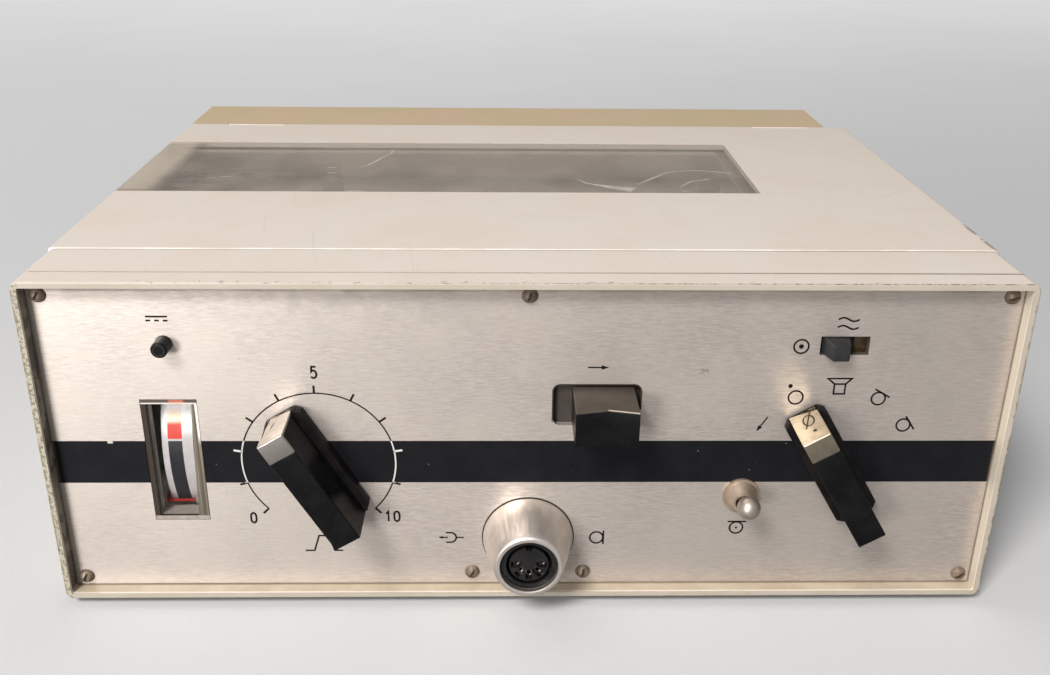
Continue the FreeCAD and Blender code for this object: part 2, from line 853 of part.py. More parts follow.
def selector_switch():
    """The rotary switch: a detent plate and wafers on two tie rods."""
    plate_end = panel_back + 3 * selector_wafer_thickness
    end = selector_switch_end()
    body = rod_y(selector_x, selector_z, panel_back, plate_end, selector_body_radius)
    body = body.fuse(bush_and_nut(selector_x, selector_z))
    for index in range(selector_wafer_count):
        back = plate_end + selector_wafer_pitch * (index + 1)
        body = body.fuse(rod_y(selector_x, selector_z, back - selector_wafer_thickness, back,
                               selector_body_radius))
    for side in (-1, 1):
        body = body.fuse(rod_y(selector_x, selector_z + side * (selector_body_radius - 3), plate_end, end,
                               selector_wafer_thickness))
    bore = rod_y(selector_x, selector_z, panel_front - bush_reach - 1, end + 1,
                 shaft_radius + shaft_running_gap)
    return body.removeSplitter().cut(bore)


def control_shaft(x, z, end):
    """The shaft of a rotary control, from inside the knob to its end."""
    return rod_y(x, z, panel_front - shaft_reach, end, shaft_radius)


def bar_knob_blank():
    """The bar knob standing upright at the origin, pointer up and front towards the viewer."""
    long, wide, cut = knob_half_length, knob_skirt_half_width, knob_skirt_chamfer
    outline = [(-wide, -long + cut), (-wide, long - cut), (-wide + cut, long), (wide - cut, long),
               (wide, long - cut), (wide, -long + cut), (wide - cut, -long), (-wide + cut, -long)]
    points = [Vector(x, -knob_skirt_height, z) for x, z in outline]
    skirt = polygon_prism(points, Vector(0, knob_skirt_height - knob_clearance, 0))
    bar = box(-knob_half_width, knob_half_width, -knob_height, -knob_skirt_height / 2, -long, long)
    bar = bar.makeFillet(knob_edge_radius, [edge for edge in bar.Edges
                                            if max(vertex.Y for vertex in edge.Vertexes) < -knob_height + 1e-6
                                            or edge.Length == knob_height])
    pocket = rod_y(0, 0, -knob_clearance - knob_pocket_depth, 0, knob_pocket_radius)
    bore = rod_y(0, 0, -shaft_reach, 0, shaft_radius)
    return carve(join(skirt, bar), pocket, bore)


def knob_cap_space():
    """The space of the metal cap: a plate over the pointer end and one over the front."""
    end_plate = box(-knob_half_width, knob_half_width, -knob_height, -cap_start,
                    knob_half_length - cap_thickness, knob_half_length)
    front_plate = box(-knob_half_width, knob_half_width, -knob_height, -knob_height + cap_thickness,
                      knob_half_length - cap_length, knob_half_length)
    return join(end_plate, front_plate)


def bar_knob(x, z, angle):
    """The black body of a bar knob, set at its place on the panel."""
    knob = turn_about_y(bar_knob_blank().cut(knob_cap_space()), angle, x, z)
    knob.translate(Vector(0, panel_front, 0))
    return knob


def knob_cap(x, z, angle):
    """The metal cap on the pointer end of a bar knob."""
    cap = turn_about_y(bar_knob_blank().common(knob_cap_space()), angle, x, z)
    cap.translate(Vector(0, panel_front, 0))
    return cap


def test_button():
    """The round push button with the collar that keeps it behind the panel."""
    stem_end = panel_back + edge_gap + button_collar_radius / 2 + button_travel + wall
    stem = rod_y(button_x, button_z, panel_front - button_reach, stem_end, button_radius)
    stem = stem.makeFillet(button_radius / 4, edges_at_y(stem, panel_front - button_reach))
    collar_front = panel_back + edge_gap
    collar = rod_y(button_x, button_z, collar_front, collar_front + button_collar_radius / 2,
                   button_collar_radius)
    return join(stem, collar)


def button_switch():
    """The switch behind the push button: a box with a chamber for the collar and a bore."""
    half = 2 * button_radius + wall
    chamber_end = panel_back + 2 * edge_gap + button_collar_radius / 2 + button_travel
    bore_end = chamber_end + wall + button_travel + edge_gap
    body = box(button_x - half, button_x + half, panel_back, bore_end + 3 * wall,
               button_z - half, button_z + half)
    chamber = rod_y(button_x, button_z, panel_back - 1, chamber_end, button_collar_radius + edge_gap)
    bore = rod_y(button_x, button_z, panel_back, bore_end, button_radius + button_gap)
    return carve(body, chamber, bore)


def transport_button():
    """The block that slides along its slot, with a hollow front for the finger."""
    x0 = transport_x - transport_width / 2
    x1 = transport_x + transport_width / 2
    front = panel_front - transport_reach
    back = panel_back + edge_gap
    low = transport_z - transport_height / 2
    crease = Vector(transport_x, front + transport_crease, low)
    points = [Vector(x0, back, low), Vector(x0, front, low), crease, Vector(x1, front, low),
              Vector(x1, back, low)]
    return polygon_prism(points, Vector(0, 0, transport_height))


def slide_level(margin):
    """The lower and upper z of the transport slide, with a margin added."""
    half = transport_slot_height / 2 + slide_margin + margin
    return transport_z - half, transport_z + half


def transport_slide():
    """The plate behind the slot that carries the block and works the pinch arm and the brakes."""
    low, high = slide_level(0)
    front = panel_back + edge_gap
    back = front + slide_thickness
    x0 = transport_slot_left - slide_margin
    x1 = transport_slot_right + slide_margin + transport_travel
    plate = box(x0, x1, front, back, low, high)
    lug = box(x1 - slide_margin, x1, back, back + 4 * slide_margin, transport_z, transport_z + slide_margin)
    return join(plate, lug)


def transport_guide():
    """Two rails on the back of the panel that hold the slide."""
    low, high = slide_level(edge_gap)
    x0 = transport_slot_left - 2 * slide_margin - transport_travel
    x1 = transport_slot_right + 2 * slide_margin + transport_travel
    lip_front = panel_back + 2 * edge_gap + slide_thickness
    lip_back = lip_front + slide_thickness
    rails = []
    for inner, outer in ((low, low - slide_thickness), (high, high + slide_thickness)):
        lip_edge = inner + (inner - outer) * 0.75
        rail = box(x0, x1, panel_back, lip_back, min(inner, outer), max(inner, outer))
        lip = box(x0, x1, lip_front, lip_back, min(lip_edge, outer), max(lip_edge, outer))
        rails.append(join(rail, lip))
    return rails


def slide_knob_x():
    """The middle of the slide switch knob at rest."""
    return slide_switch_x - slide_slot_width / 2 + slide_knob_left + slide_knob_width / 2


def slide_switch_knob():
    """The tapered slider with its foot behind the panel."""
    x = slide_knob_x()
    half_z = slide_slot_height / 2 - edge_gap
    front = panel_front - slide_knob_reach
    root = [Vector(x + sx * slide_knob_width / 2, panel_front, slide_switch_z + sz * half_z)
            for sx, sz in ((-1, -1), (1, -1), (1, 1), (-1, 1))]
    nose = [Vector(x + sx * slide_knob_front_width / 2, front,
                   slide_switch_z + sz * slide_knob_front_height / 2)
            for sx, sz in ((-1, -1), (1, -1), (1, 1), (-1, 1))]
    wires = [Part.makePolygon(points + [points[0]]) for points in (root, nose)]
    taper = Part.makeLoft(wires, True, True)
    neck = box(x - slide_knob_width / 2, x + slide_knob_width / 2, panel_front, panel_back + edge_gap,
               slide_switch_z - half_z, slide_switch_z + half_z)
    foot = box(x - slide_knob_width / 2 - wall, x + slide_knob_width / 2 + wall, panel_back + edge_gap,
               panel_back + edge_gap + wall, slide_switch_z - half_z, slide_switch_z + half_z)
    return join(taper, neck, foot)


def slide_switch_body():
    """The switch behind the slider, with the trough that its foot runs in."""
    left = slide_knob_x() - slide_knob_width / 2 - wall - edge_gap
    right = slide_knob_x() + slide_knob_width / 2 + wall + slide_knob_travel + edge_gap
    trough_end = panel_back + 2 * edge_gap + wall
    half = slide_slot_height / 2
    body = box(left - 2 * wall, right + 2 * wall, panel_back, trough_end + 4 * wall,
               slide_switch_z - half - wall, slide_switch_z + half + wall)
    trough = box(left, right, panel_back - 1, trough_end, slide_switch_z - half, slide_switch_z + half)
    return body.cut(trough)


def toggle_bush():
    """The flanged, tapered bush of the toggle switch with a flared bore."""
    nose = panel_front - toggle_bush_reach
    flange = panel_front - toggle_flange_thickness
    end = panel_back + wall
    swing = math.tan(math.radians(toggle_throw / 2))
    mouth = toggle_lever_radius + toggle_bush_reach * swing + edge_gap
    throat = toggle_throat()
    profile = [(throat, end), (toggle_thread_radius, end), (toggle_thread_radius, panel_front),
               (toggle_flange_radius, panel_front), (toggle_flange_radius, flange),
               (toggle_bush_base_radius, flange), (toggle_bush_nose_radius, nose), (mouth, nose),
               (throat, panel_front - throat)]
    return turned_y(toggle_x, toggle_z, profile)


def toggle_throat():
    """The radius of the bush's bore, in which the corners of the lever's knuckle turn."""
    return math.hypot(toggle_knuckle_radius, toggle_knuckle_half_length) + shaft_running_gap


def toggle_switch_body():
    """The switch behind the toggle, with a chamber for the tail of the lever."""
    half_x = toggle_thread_radius + 1.5 * wall
    half_z = toggle_thread_radius + 3 * wall
    thread_end = panel_back + wall
    chamber_end = thread_end + 4 * wall
    body = box(toggle_x - half_x, toggle_x + half_x, panel_back, chamber_end + 3 * wall,
               toggle_z - half_z, toggle_z + half_z)
    seat = rod_y(toggle_x, toggle_z, panel_back - 1, thread_end, toggle_thread_radius)
    chamber = box(toggle_x - toggle_thread_radius, toggle_x + toggle_thread_radius, thread_end, chamber_end,
                  toggle_z - 2.5 * wall, toggle_z + 2.5 * wall)
    return carve(body, seat, chamber)


def toggle_lever():
    """The lever with its ball end, tilted up at rest."""
    pivot = Vector(toggle_x, panel_front, toggle_z)
    ball = Part.makeSphere(toggle_ball_radius, pivot - Vector(0, toggle_lever_length, 0))
    stem = rod_y(toggle_x, toggle_z, panel_front - toggle_lever_length, panel_front, toggle_lever_radius)
    knuckle = rod_x(panel_front, toggle_z, toggle_x - toggle_knuckle_half_length,
                    toggle_x + toggle_knuckle_half_length, toggle_knuckle_radius)
    tail = rod_y(toggle_x, toggle_z, panel_front, panel_back + 2.5 * wall, toggle_lever_radius * 0.6)
    lever = join(ball, stem, knuckle, tail)
    lever.rotate(pivot, Vector(1, 0, 0), -toggle_throw / 2)
    return lever


def switch_bodies():
    """The bodies of the toggle, slide and push-button switches."""
    return [toggle_switch_body(), slide_switch_body(), button_switch()]


def connector_boss():
    """The conical boss of the socket, with a neck and a ring behind the panel."""
    nose = panel_front - boss_reach
    lip = (boss_nose_radius - socket_bore_radius) / 2
    recess_end = nose + socket_recess
    bore = insert_radius() + insert_gap
    neck_end = panel_back + 3 * wall
    profile = [(bore, neck_end), (boss_nose_radius, neck_end), (boss_nose_radius, panel_back + wall),
               (boss_base_radius - lip, panel_back + wall), (boss_base_radius - lip, panel_back),
               (boss_nose_radius, panel_back), (boss_nose_radius, panel_front),
               (boss_base_radius, panel_front), (boss_base_radius, panel_front - lip),
               (boss_nose_radius + lip / 2, nose + lip), (boss_nose_radius, nose + lip / 3),
               (boss_nose_radius - lip / 2, nose), (socket_bore_radius, nose),
               (socket_bore_radius, recess_end), (bore, recess_end)]
    return turned_y(socket_x, socket_z, profile)


def insert_radius():
    """The outer radius of the black insert in the socket."""
    return socket_bore_radius - 5 * insert_gap


def contact_turns():
    """How far each contact is turned about the socket's axis from straight up, in degrees."""
    return [-90.0 - 180.0 * index / (contact_count - 1) for index in range(contact_count)]


def contact_places():
    """The x and z of the contact holes, along the lower half of their circle."""
    turns = [math.radians(turn) for turn in contact_turns()]
    return [(socket_x + contact_circle_radius * math.sin(turn),
             socket_z + contact_circle_radius * math.cos(turn)) for turn in turns]


def connector_insert():
    """The insert with slotted contact holes, the ring groove for a plug's shell and its key slot."""
    face = panel_front - boss_reach + socket_recess
    end = face + insert_length
    core = contact_circle_radius + 2 * contact_hole_radius
    insert = rod_y(socket_x, socket_z, face, end, insert_radius())
    groove = rod_y(socket_x, socket_z, face - 1, face + insert_length / 2, core + contact_hole_radius)
    groove = groove.cut(rod_y(socket_x, socket_z, face - 2, end, core))
    key_z = socket_z + core
    key = box(socket_x - contact_hole_radius, socket_x + contact_hole_radius, face - 1,
              face + insert_length / 2, key_z - contact_hole_radius, key_z + contact_hole_radius)
    holes = [rod_y(x, z, face - 1, end + 1, contact_hole_radius) for x, z in contact_places()]
    slot = box(-contact_hole_radius, contact_hole_radius, face - 1, face + contact_slot_depth,
               contact_slot_start, contact_slot_end)
    slots = [turn_about_y(slot, turn, socket_x, socket_z) for turn in contact_turns()]
    return carve(insert, groove, key, *holes, *slots)


def connector_contacts():
    """The spring tubes in the contact holes with their solder tails."""
    face = panel_front - boss_reach + socket_recess
    front = face + contact_recess
    end = face + insert_length
    tubes = []
    for x, z in contact_places():
        tube = rod_y(x, z, front, end + contact_tail, contact_hole_radius)
        tubes.append(tube.cut(rod_y(x, z, front - 1, end - contact_tail, contact_hole_radius * 0.7)))
    return tubes


def spindle_places():
    """The x of the supply and take-up spindles."""
    return -reel_spacing / 2, reel_spacing / 2


def brake_pivot(side):
    """The x and y of a brake lever's pivot, on the inner side of its drum."""
    pad_x = reel_spacing / 2 - drum_radius - brake_gap
    return side * (pad_x - brake_pad - brake_width / 2), spindle_y - brake_arm_length


def brake_level():
    """The lower z of the brake levers, at the middle of the drums."""
    return deck_top - drum_drop - (drum_height + brake_thickness) / 2


def deck_plate():
    """The deck with its bearing and screw holes."""
    side = half_width - wall - deck_edge_gap
    plate = box(-side, side, deck_front, rear_inside - deck_edge_gap, deck_bottom, deck_top)
    cuts = [rod_z(x, spindle_y, deck_bottom - 1, deck_top + 1, bearing_radius) for x in spindle_places()]
    cuts.append(rod_z(capstan_x, capstan_y, deck_bottom - 1, deck_top + 1, bearing_radius))
    cuts += [rod_z(x, y, deck_bottom - 1, deck_top + 1, screw_radius) for x, y in pillar_places()]
    return carve(plate, *cuts)


def lever_studs():
    """The collared pivot studs of both brakes, under the deck, and of the pinch arm on top of it."""
    studs = []
    lever_low = brake_level() - thrust_gap
    lever_high = brake_level() + brake_thickness + thrust_gap
    collar = 1.5 * brake_pivot_radius
    for side in (-1, 1):
        x, y = brake_pivot(side)
        studs.append(join(rod_z(x, y, lever_low, deck_bottom, brake_pivot_radius),
                          rod_z(x, y, lever_high, deck_bottom, collar),
                          rod_z(x, y, lever_low - brake_pivot_radius / 2, lever_low, collar)))
    hub_top = deck_top + pinch_arm_rise + pinch_arm_thickness + thrust_gap
    cap_top = hub_top + wall / 2
    studs.append(join(rod_z(pinch_pivot_x, pinch_pivot_y, deck_top, hub_top, pinch_pivot_radius),
                      rod_z(pinch_pivot_x, pinch_pivot_y, hub_top, cap_top, pinch_pivot_radius + wall / 2)))
    return studs


def deck_pillars():
    """The four pillars between the bottom plate and the deck."""
    depth = screw_length - deck_thickness
    return [rod_z(x, y, floor_top, deck_bottom, pillar_radius).cut(
        rod_z(x, y, deck_bottom - depth, deck_bottom + 1, screw_radius)) for x, y in pillar_places()]


def bearing(x, y, bore):
    """A flanged bush in the deck."""
    bush = rod_z(x, y, deck_top - bearing_length, deck_top, bearing_radius)
    flange = rod_z(x, y, deck_top, bearing_top, bearing_flange_radius)
    return join(bush, flange).cut(rod_z(x, y, deck_top - bearing_length - 1, bearing_top + 1,
                                        bore + shaft_running_gap))


def spindle_bearings():
    """The bushes of both spindles and of the capstan."""
    left, right = spindle_places()
    return [bearing(left, spindle_y, spindle_shaft_radius), bearing(right, spindle_y, spindle_shaft_radius),
            bearing(capstan_x, capstan_y, capstan_radius)]


def turntable(x):
    """The disc that carries a reel, on a short hub above the bush."""
    disc = rod_z(x, spindle_y, turntable_bottom, turntable_top, turntable_radius)
    disc = disc.makeChamfer(turntable_thickness / 4, [edge for edge in disc.Edges
                                                      if all(vertex.Z > turntable_top - 1e-6
                                                             for vertex in edge.Vertexes)])
    groove = rod_z(x, spindle_y, turntable_top - turntable_thickness / 4, turntable_top + 1,
                   turntable_radius - turntable_thickness)
    groove = groove.cut(rod_z(x, spindle_y, deck_top, case_height, turntable_radius / 2))
    hub = rod_z(x, spindle_y, bearing_top + thrust_gap, turntable_bottom, bearing_flange_radius)
    bore = rod_z(x, spindle_y, deck_top, turntable_top + 1, spindle_shaft_radius)
    return carve(join(disc, hub), groove, bore)


def spindle(x, low):
    """A reel spindle with three fins round its neck, its shaft and the brake drum on it."""
    top = turntable_top + spindle_reach
    neck_top = turntable_top + spindle_neck_height
    neck = rod_z(x, spindle_y, turntable_top, neck_top, spindle_neck_radius)
    post = rod_z(x, spindle_y, neck_top, top, spindle_radius)
    post = post.makeChamfer(spindle_radius / 5, [edge for edge in post.Edges
                                                 if all(vertex.Z > top - 1e-6 for vertex in edge.Vertexes)])
    shaft = rod_z(x, spindle_y, low, turntable_top, spindle_shaft_radius)
    drum_top = deck_top - drum_drop
    drum = rod_z(x, spindle_y, drum_top - drum_height, drum_top, drum_radius)
    piece = join(post, neck, shaft, drum)
    fin_top = turntable_top + spindle_fin_height
    for turn in (90, 210, 330):
        fin = box(0, spindle_radius + spindle_fin, -spindle_fin_width / 2, spindle_fin_width / 2,
                  turntable_top, fin_top)
        fin.Placement = Placement(Vector(x, spindle_y, 0), Rotation(Vector(0, 0, 1), turn))
        piece = piece.fuse(fin)
    return piece.removeSplitter()


def supply_spindle():
    """The left spindle, ending below its brake drum."""
    left, _ = spindle_places()
    return spindle(left, deck_top - drum_drop - drum_height - spindle_shaft_radius)


def take_up_spindle():
    """The right spindle with the clutch pulley at its lower end."""
    _, right = spindle_places()
    low = deck_top - spindle_depth
    clutch = rod_z(right, spindle_y, low, low + clutch_height, clutch_radius)
    return join(spindle(right, low), clutch)


def capstan_flywheel():
    """The capstan shaft, and the flywheel pressed on it with the pulley below."""
    shaft = rod_z(capstan_x, capstan_y, bridge_top - bridge_thickness, deck_top + capstan_rise,
                  capstan_radius)
    bore = rod_z(capstan_x, capstan_y, bridge_top, deck_top, capstan_radius)
    wheel = rod_z(capstan_x, capstan_y, flywheel_bottom, flywheel_top, flywheel_radius)
    dish = rod_z(capstan_x, capstan_y, flywheel_top - flywheel_height / 3, flywheel_top + 1,
                 flywheel_radius - wall - bearing_radius / 2)
    dish = dish.cut(rod_z(capstan_x, capstan_y, flywheel_bottom, deck_top, bearing_radius))
    pulley = rod_z(capstan_x, capstan_y, take_up_belt_low, flywheel_bottom, take_up_pulley_radius)
    return [shaft, join(wheel.cut(dish), pulley).cut(bore)]


def hull_z(x0, y0, r0, x1, y1, r1, low, high):
    """The stretched outline round two circles, from the low to the high z."""
    across = math.hypot(x1 - x0, y1 - y0)
    heading = math.atan2(y1 - y0, x1 - x0)
    lean = math.acos((r0 - r1) / across)
    points = []
    for x, y, radius, turn in ((x0, y0, r0, heading - lean), (x1, y1, r1, heading - lean),
                               (x1, y1, r1, heading + lean), (x0, y0, r0, heading + lean)):
        points.append(Vector(x + radius * math.cos(turn), y + radius * math.sin(turn), low))
    middle = polygon_prism(points, Vector(0, 0, high - low))
    return join(middle, rod_z(x0, y0, low, high, r0), rod_z(x1, y1, low, high, r1))


def bridge_posts():
    """The x and y of the two posts of the bridge under the flywheel."""
    return [(capstan_x - bridge_post_x, capstan_y + bridge_post_y),
            (capstan_x + bridge_post_x, capstan_y - bridge_post_y)]


def flywheel_bridge():
    """The bridge that carries the lower end of the capstan shaft."""
    (x0, y0), (x1, y1) = bridge_posts()
    edge = 1.5 * bridge_post_radius
    bridge = hull_z(x0, y0, edge, x1, y1, edge, bridge_top - bridge_thickness, bridge_top)
    for x, y in bridge_posts():
        bridge = bridge.fuse(rod_z(x, y, bridge_top, deck_bottom, bridge_post_radius))
    bore = rod_z(capstan_x, capstan_y, 0, bridge_top + 1, capstan_radius + shaft_running_gap)
    return bridge.removeSplitter().cut(bore)


def drive_motor():
    """The motor hanging from its bracket under the deck."""
    body = rod_z(motor_x, motor_y, motor_top - motor_height, motor_top, motor_radius)
    edge = 1.5 * bridge_post_radius
    left, right = motor_x - motor_post_offset, motor_x + motor_post_offset
    plate = hull_z(left, motor_y, edge, right, motor_y, edge, motor_top, motor_top + bridge_thickness)
    plate = plate.fuse(rod_z(motor_x, motor_y, motor_top, motor_top + bridge_thickness,
                             motor_radius * 0.8))
    motor = join(body, plate)
    for x in (left, right):
        motor = motor.fuse(rod_z(x, motor_y, motor_top + bridge_thickness, deck_bottom, bridge_post_radius))
    shaft_low = motor_shaft_low()
    bore = rod_z(motor_x, motor_y, shaft_low - thrust_gap, deck_bottom,
                 motor_shaft_radius + shaft_running_gap)
    return motor.removeSplitter().cut(bore)


def motor_shaft_low():
    """The z where the motor shaft ends inside the motor."""
    return motor_pulley_low() + motor_pulley_height + wall / 2 - motor_shaft_length


def motor_pulley_low():
    """The lower z of the motor pulley, level with the flywheel's belt."""
    return belt_low + (belt_width - motor_pulley_height) / 2


def motor_pulley():
    """The flanged pulley with the motor shaft."""
    low = motor_pulley_low()
    high = low + motor_pulley_height
    flange = (motor_pulley_height - belt_width) / 4
    pulley = rod_z(motor_x, motor_y, low, high, motor_pulley_radius)
    shaft = rod_z(motor_x, motor_y, motor_shaft_low(), high + wall / 2, motor_shaft_radius)
    rim = motor_pulley_radius + 1.5 * belt_thickness
    return join(pulley, shaft, rod_z(motor_x, motor_y, low, low + flange, rim),
                rod_z(motor_x, motor_y, high - flange, high, rim))


def belt(x0, y0, r0, x1, y1, r1, low):
    """A flat belt round two pulleys, running a little off their rims."""
    inner = belt_gap
    outer = belt_gap + belt_thickness
    loop = hull_z(x0, y0, r0 + outer, x1, y1, r1 + outer, low, low + belt_width)
    return loop.cut(hull_z(x0, y0, r0 + inner, x1, y1, r1 + inner, low - 1, low + belt_width + 1))


def drive_belts():
    """The belt from motor to flywheel and the one from flywheel to take-up clutch."""
    _, right = spindle_places()
    lower = take_up_belt_low + (clutch_height - belt_width) / 2
    return [belt(capstan_x, capstan_y, flywheel_radius, motor_x, motor_y, motor_pulley_radius, belt_low),
            belt(capstan_x, capstan_y, take_up_pulley_radius, right, spindle_y, clutch_radius, lower)]


def head_places():
    """The x of the erase, record and playback heads."""
    return [head_middle_x + step * head_spacing for step in (-1, 0, 1)]


def head_bracket():
    """The bracket under the heads with its turned-up front edge."""
    places = head_places()
    x0 = places[0] - head_width / 2 - bracket_margin
    x1 = places[-1] + head_width / 2 + bracket_margin
    y0 = head_front_y - head_depth - bracket_margin
    plate = box(x0, x1, y0, head_front_y, deck_top, deck_top + bracket_thickness)
    return join(plate, box(x0, x1, y0, y0 + bracket_thickness, deck_top, deck_top + head_height / 2))


def tape_heads():
    """Three screened heads with rounded noses towards the tape."""
    heads = []
    low = deck_top + bracket_thickness
    high = low + head_height
    for x in head_places():
        half = head_width / 2
        body = box(x - half, x + half, head_front_y - head_depth, head_front_y - head_nose, low, high)
        nose = rod_z(x, head_front_y - head_width / 2, low, high, head_width / 2)
        nose = nose.common(box(x - 0.8 * half, x + 0.8 * half, head_front_y - half, head_front_y, low, high))
        heads.append(join(body, nose))
    return heads


def tape_guides():
    """The two flanged guide posts."""
    guides = []
    tape_low = deck_top + tape_rise
    tape_high = tape_low + tape_width
    for x in (guide_left_x, guide_right_x):
        post = rod_z(x, guide_y, deck_top, tape_high + guide_flange_thickness, guide_radius)
        lower = rod_z(x, guide_y, tape_low - guide_flange_thickness, tape_low, guide_flange_radius)
        upper = rod_z(x, guide_y, tape_high, tape_high + guide_flange_thickness, guide_flange_radius)
        guides.append(join(post, lower, upper))
    return guides


def pinch_reach():
    """How far apart capstan and pinch roller stand when the roller is pressed on."""
    return capstan_radius + pinch_roller_radius + pinch_contact


def pinch_arm_length():
    """From the pivot to the axle of the pinch roller."""
    return math.hypot(pinch_pivot_x - capstan_x, pinch_pivot_y - (capstan_y - pinch_reach()))


def pinch_swing():
    """The turn of the arm, in degrees, that opens the roller from the capstan."""
    return math.degrees(2 * math.asin(pinch_open / 2 / pinch_arm_length()))


def pinch_axle():
    """The x and y of the pinch roller at rest."""
    turn = math.radians(pinch_swing())
    x = capstan_x - pinch_pivot_x
    y = capstan_y - pinch_reach() - pinch_pivot_y
    return (pinch_pivot_x + x * math.cos(turn) - y * math.sin(turn),
            pinch_pivot_y + x * math.sin(turn) + y * math.cos(turn))


def pinch_arm():
    """The arm on its pivot with the axle of the roller."""
    x, y = pinch_axle()
    low = deck_top + pinch_arm_rise
    top = low + pinch_arm_thickness
    arm = hull_z(pinch_pivot_x, pinch_pivot_y, pinch_hub_radius, x, y, 2 * pinch_axle_radius, low, top)
    hub = rod_z(pinch_pivot_x, pinch_pivot_y, deck_top + thrust_gap, top, pinch_hub_radius)
    axle_top = top + 2 * thrust_gap + pinch_roller_height
    axle = rod_z(x, y, top, axle_top + pinch_axle_radius / 2, pinch_axle_radius)
    clip = rod_z(x, y, axle_top, axle_top + pinch_axle_radius / 2, 2 * pinch_axle_radius)
    bore = rod_z(pinch_pivot_x, pinch_pivot_y, deck_top, top + 1, pinch_pivot_radius + shaft_running_gap)
    return join(arm, hub, axle, clip).cut(bore)


def pinch_roller():
    """The rubber roller on the arm's axle."""
    x, y = pinch_axle()
    low = deck_top + pinch_arm_rise + pinch_arm_thickness + thrust_gap
    roller = rod_z(x, y, low, low + pinch_roller_height, pinch_roller_radius)
    return roller.cut(rod_z(x, y, low - 1, low + pinch_roller_height + 1,
                            pinch_axle_radius + shaft_running_gap))


def brake(side):
    """A brake lever with its pad beside the drum."""
    x, y = brake_pivot(side)
    low = brake_level()
    high = low + brake_thickness
    lever = hull_z(x, y, brake_width / 2 + 0.1, x, spindle_y, brake_width / 2, low, high)
    inner = x + side * brake_width / 4
    outer = x + side * (brake_width / 2 + brake_pad)
    pad = box(min(inner, outer), max(inner, outer), spindle_y - brake_pad, spindle_y + brake_pad, low, high)
    bore = rod_z(x, y, low - 1, high + 1, brake_pivot_radius + shaft_running_gap)
    return join(lever, pad).cut(bore)


def board_areas():
    """The left, right, front and rear edges of the two circuit boards."""
    return [(left_board_x, left_board_x + left_board_width, left_board_y, left_board_y + left_board_length),
            (middle_board_x, middle_board_x + middle_board_width, middle_board_y,
             middle_board_y + middle_board_length)]


def board_posts():
    """The x and y of the posts under the corners of the boards."""
    edge = 2 * board_post_radius
    return [(x, y) for x0, x1, y0, y1 in board_areas() for x in (x0 + edge, x1 - edge)
            for y in (y0 + edge, y1 - edge)]


def circuit_boards():
    """The two boards and the posts that they stand on."""
    low = floor_top + board_rise
    boards = [box(x0, x1, y0, y1, low, low + board_thickness) for x0, x1, y0, y1 in board_areas()]
    return boards + [rod_z(x, y, floor_top, low, board_post_radius) for x, y in board_posts()]


def board_components():
    """Transformers, cans and transistors standing on the boards."""
    low = floor_top + board_rise + board_thickness
    parts = []
    blocks = (left_board_blocks, middle_board_blocks)
    cans = (left_board_cans, middle_board_cans)
    for (left, _, front, _), board_blocks, board_cans in zip(board_areas(), blocks, cans):
        for x, y, wide, deep, tall in board_blocks:
            parts.append(box(left + x, left + x + wide, front + y, front + y + deep, low, low + tall))
        for x, y, radius, tall in board_cans:
            parts.append(rod_z(left + x, front + y, low, low + tall, radius))
    return parts


def loudspeaker():
    """The loudspeaker, facing down: basket with magnet, and the paper cone."""
    ring_top = floor_top + wall
    basket_top = floor_top + speaker_frame_height
    magnet_top = basket_top + speaker_magnet_height
    mouth = speaker_radius * 0.85
    ring = rod_z(speaker_x, speaker_y, floor_top, ring_top, speaker_radius).cut(
        rod_z(speaker_x, speaker_y, floor_top - 1, ring_top + 1, mouth))
    place = Vector(speaker_x, speaker_y, ring_top)
    rise = basket_top - ring_top
    basket = Part.makeCone(speaker_radius, speaker_magnet_radius, rise, place).cut(
        Part.makeCone(speaker_radius - wall, speaker_magnet_radius - wall, rise, place))
    magnet = rod_z(speaker_x, speaker_y, basket_top, magnet_top, speaker_magnet_radius)
    frame = join(ring, basket, magnet)
    cone_place = Vector(speaker_x, speaker_y, floor_top)
    cone = Part.makeCone(mouth, speaker_magnet_radius / 2, rise, cone_place).cut(
        Part.makeCone(mouth - wall / 2, speaker_magnet_radius / 2 - wall / 2, rise, cone_place))
    return [frame, cone]


def battery_span():
    """The left and right ends of the battery box."""
    return -half_width, half_width - battery_box_inset


def battery_columns():
    """How many cells lie end to end between the walls, the spring and the contact plates."""
    left, right = battery_span()
    ends = 4 * battery_wall + 2 * battery_contact_thickness + battery_spring_length
    return int((right - left - ends) / (battery_length + battery_nub_height))


def battery_row_start():
    """The x where the first cell of a row begins."""
    left, right = battery_span()
    return (left + right) / 2 - battery_columns() * (battery_length + battery_nub_height) / 2


def battery_row_end():
    """The x where the nub of the last cell ends."""
    return battery_row_start() + battery_columns() * (battery_length + battery_nub_height)


def battery_floor(row):
    """The z that the cells of a row lie on."""
    return door_margin + battery_shelf + row * (2 * battery_radius + touch_gap + battery_shelf)


def battery_middle_y():
    """The depth of the cells' middle line."""
    return case_rear + battery_wall + touch_gap + battery_radius


def door_opening():
    """The left, right, low and high edges of the door opening."""
    left, right = battery_span()
    return left + door_margin, right - door_margin, door_margin, case_height - door_top_margin


def door_axis():
    """The y and z of the door hinge."""
    return back_face - door_barrel_radius, door_margin + door_gap + door_barrel_radius


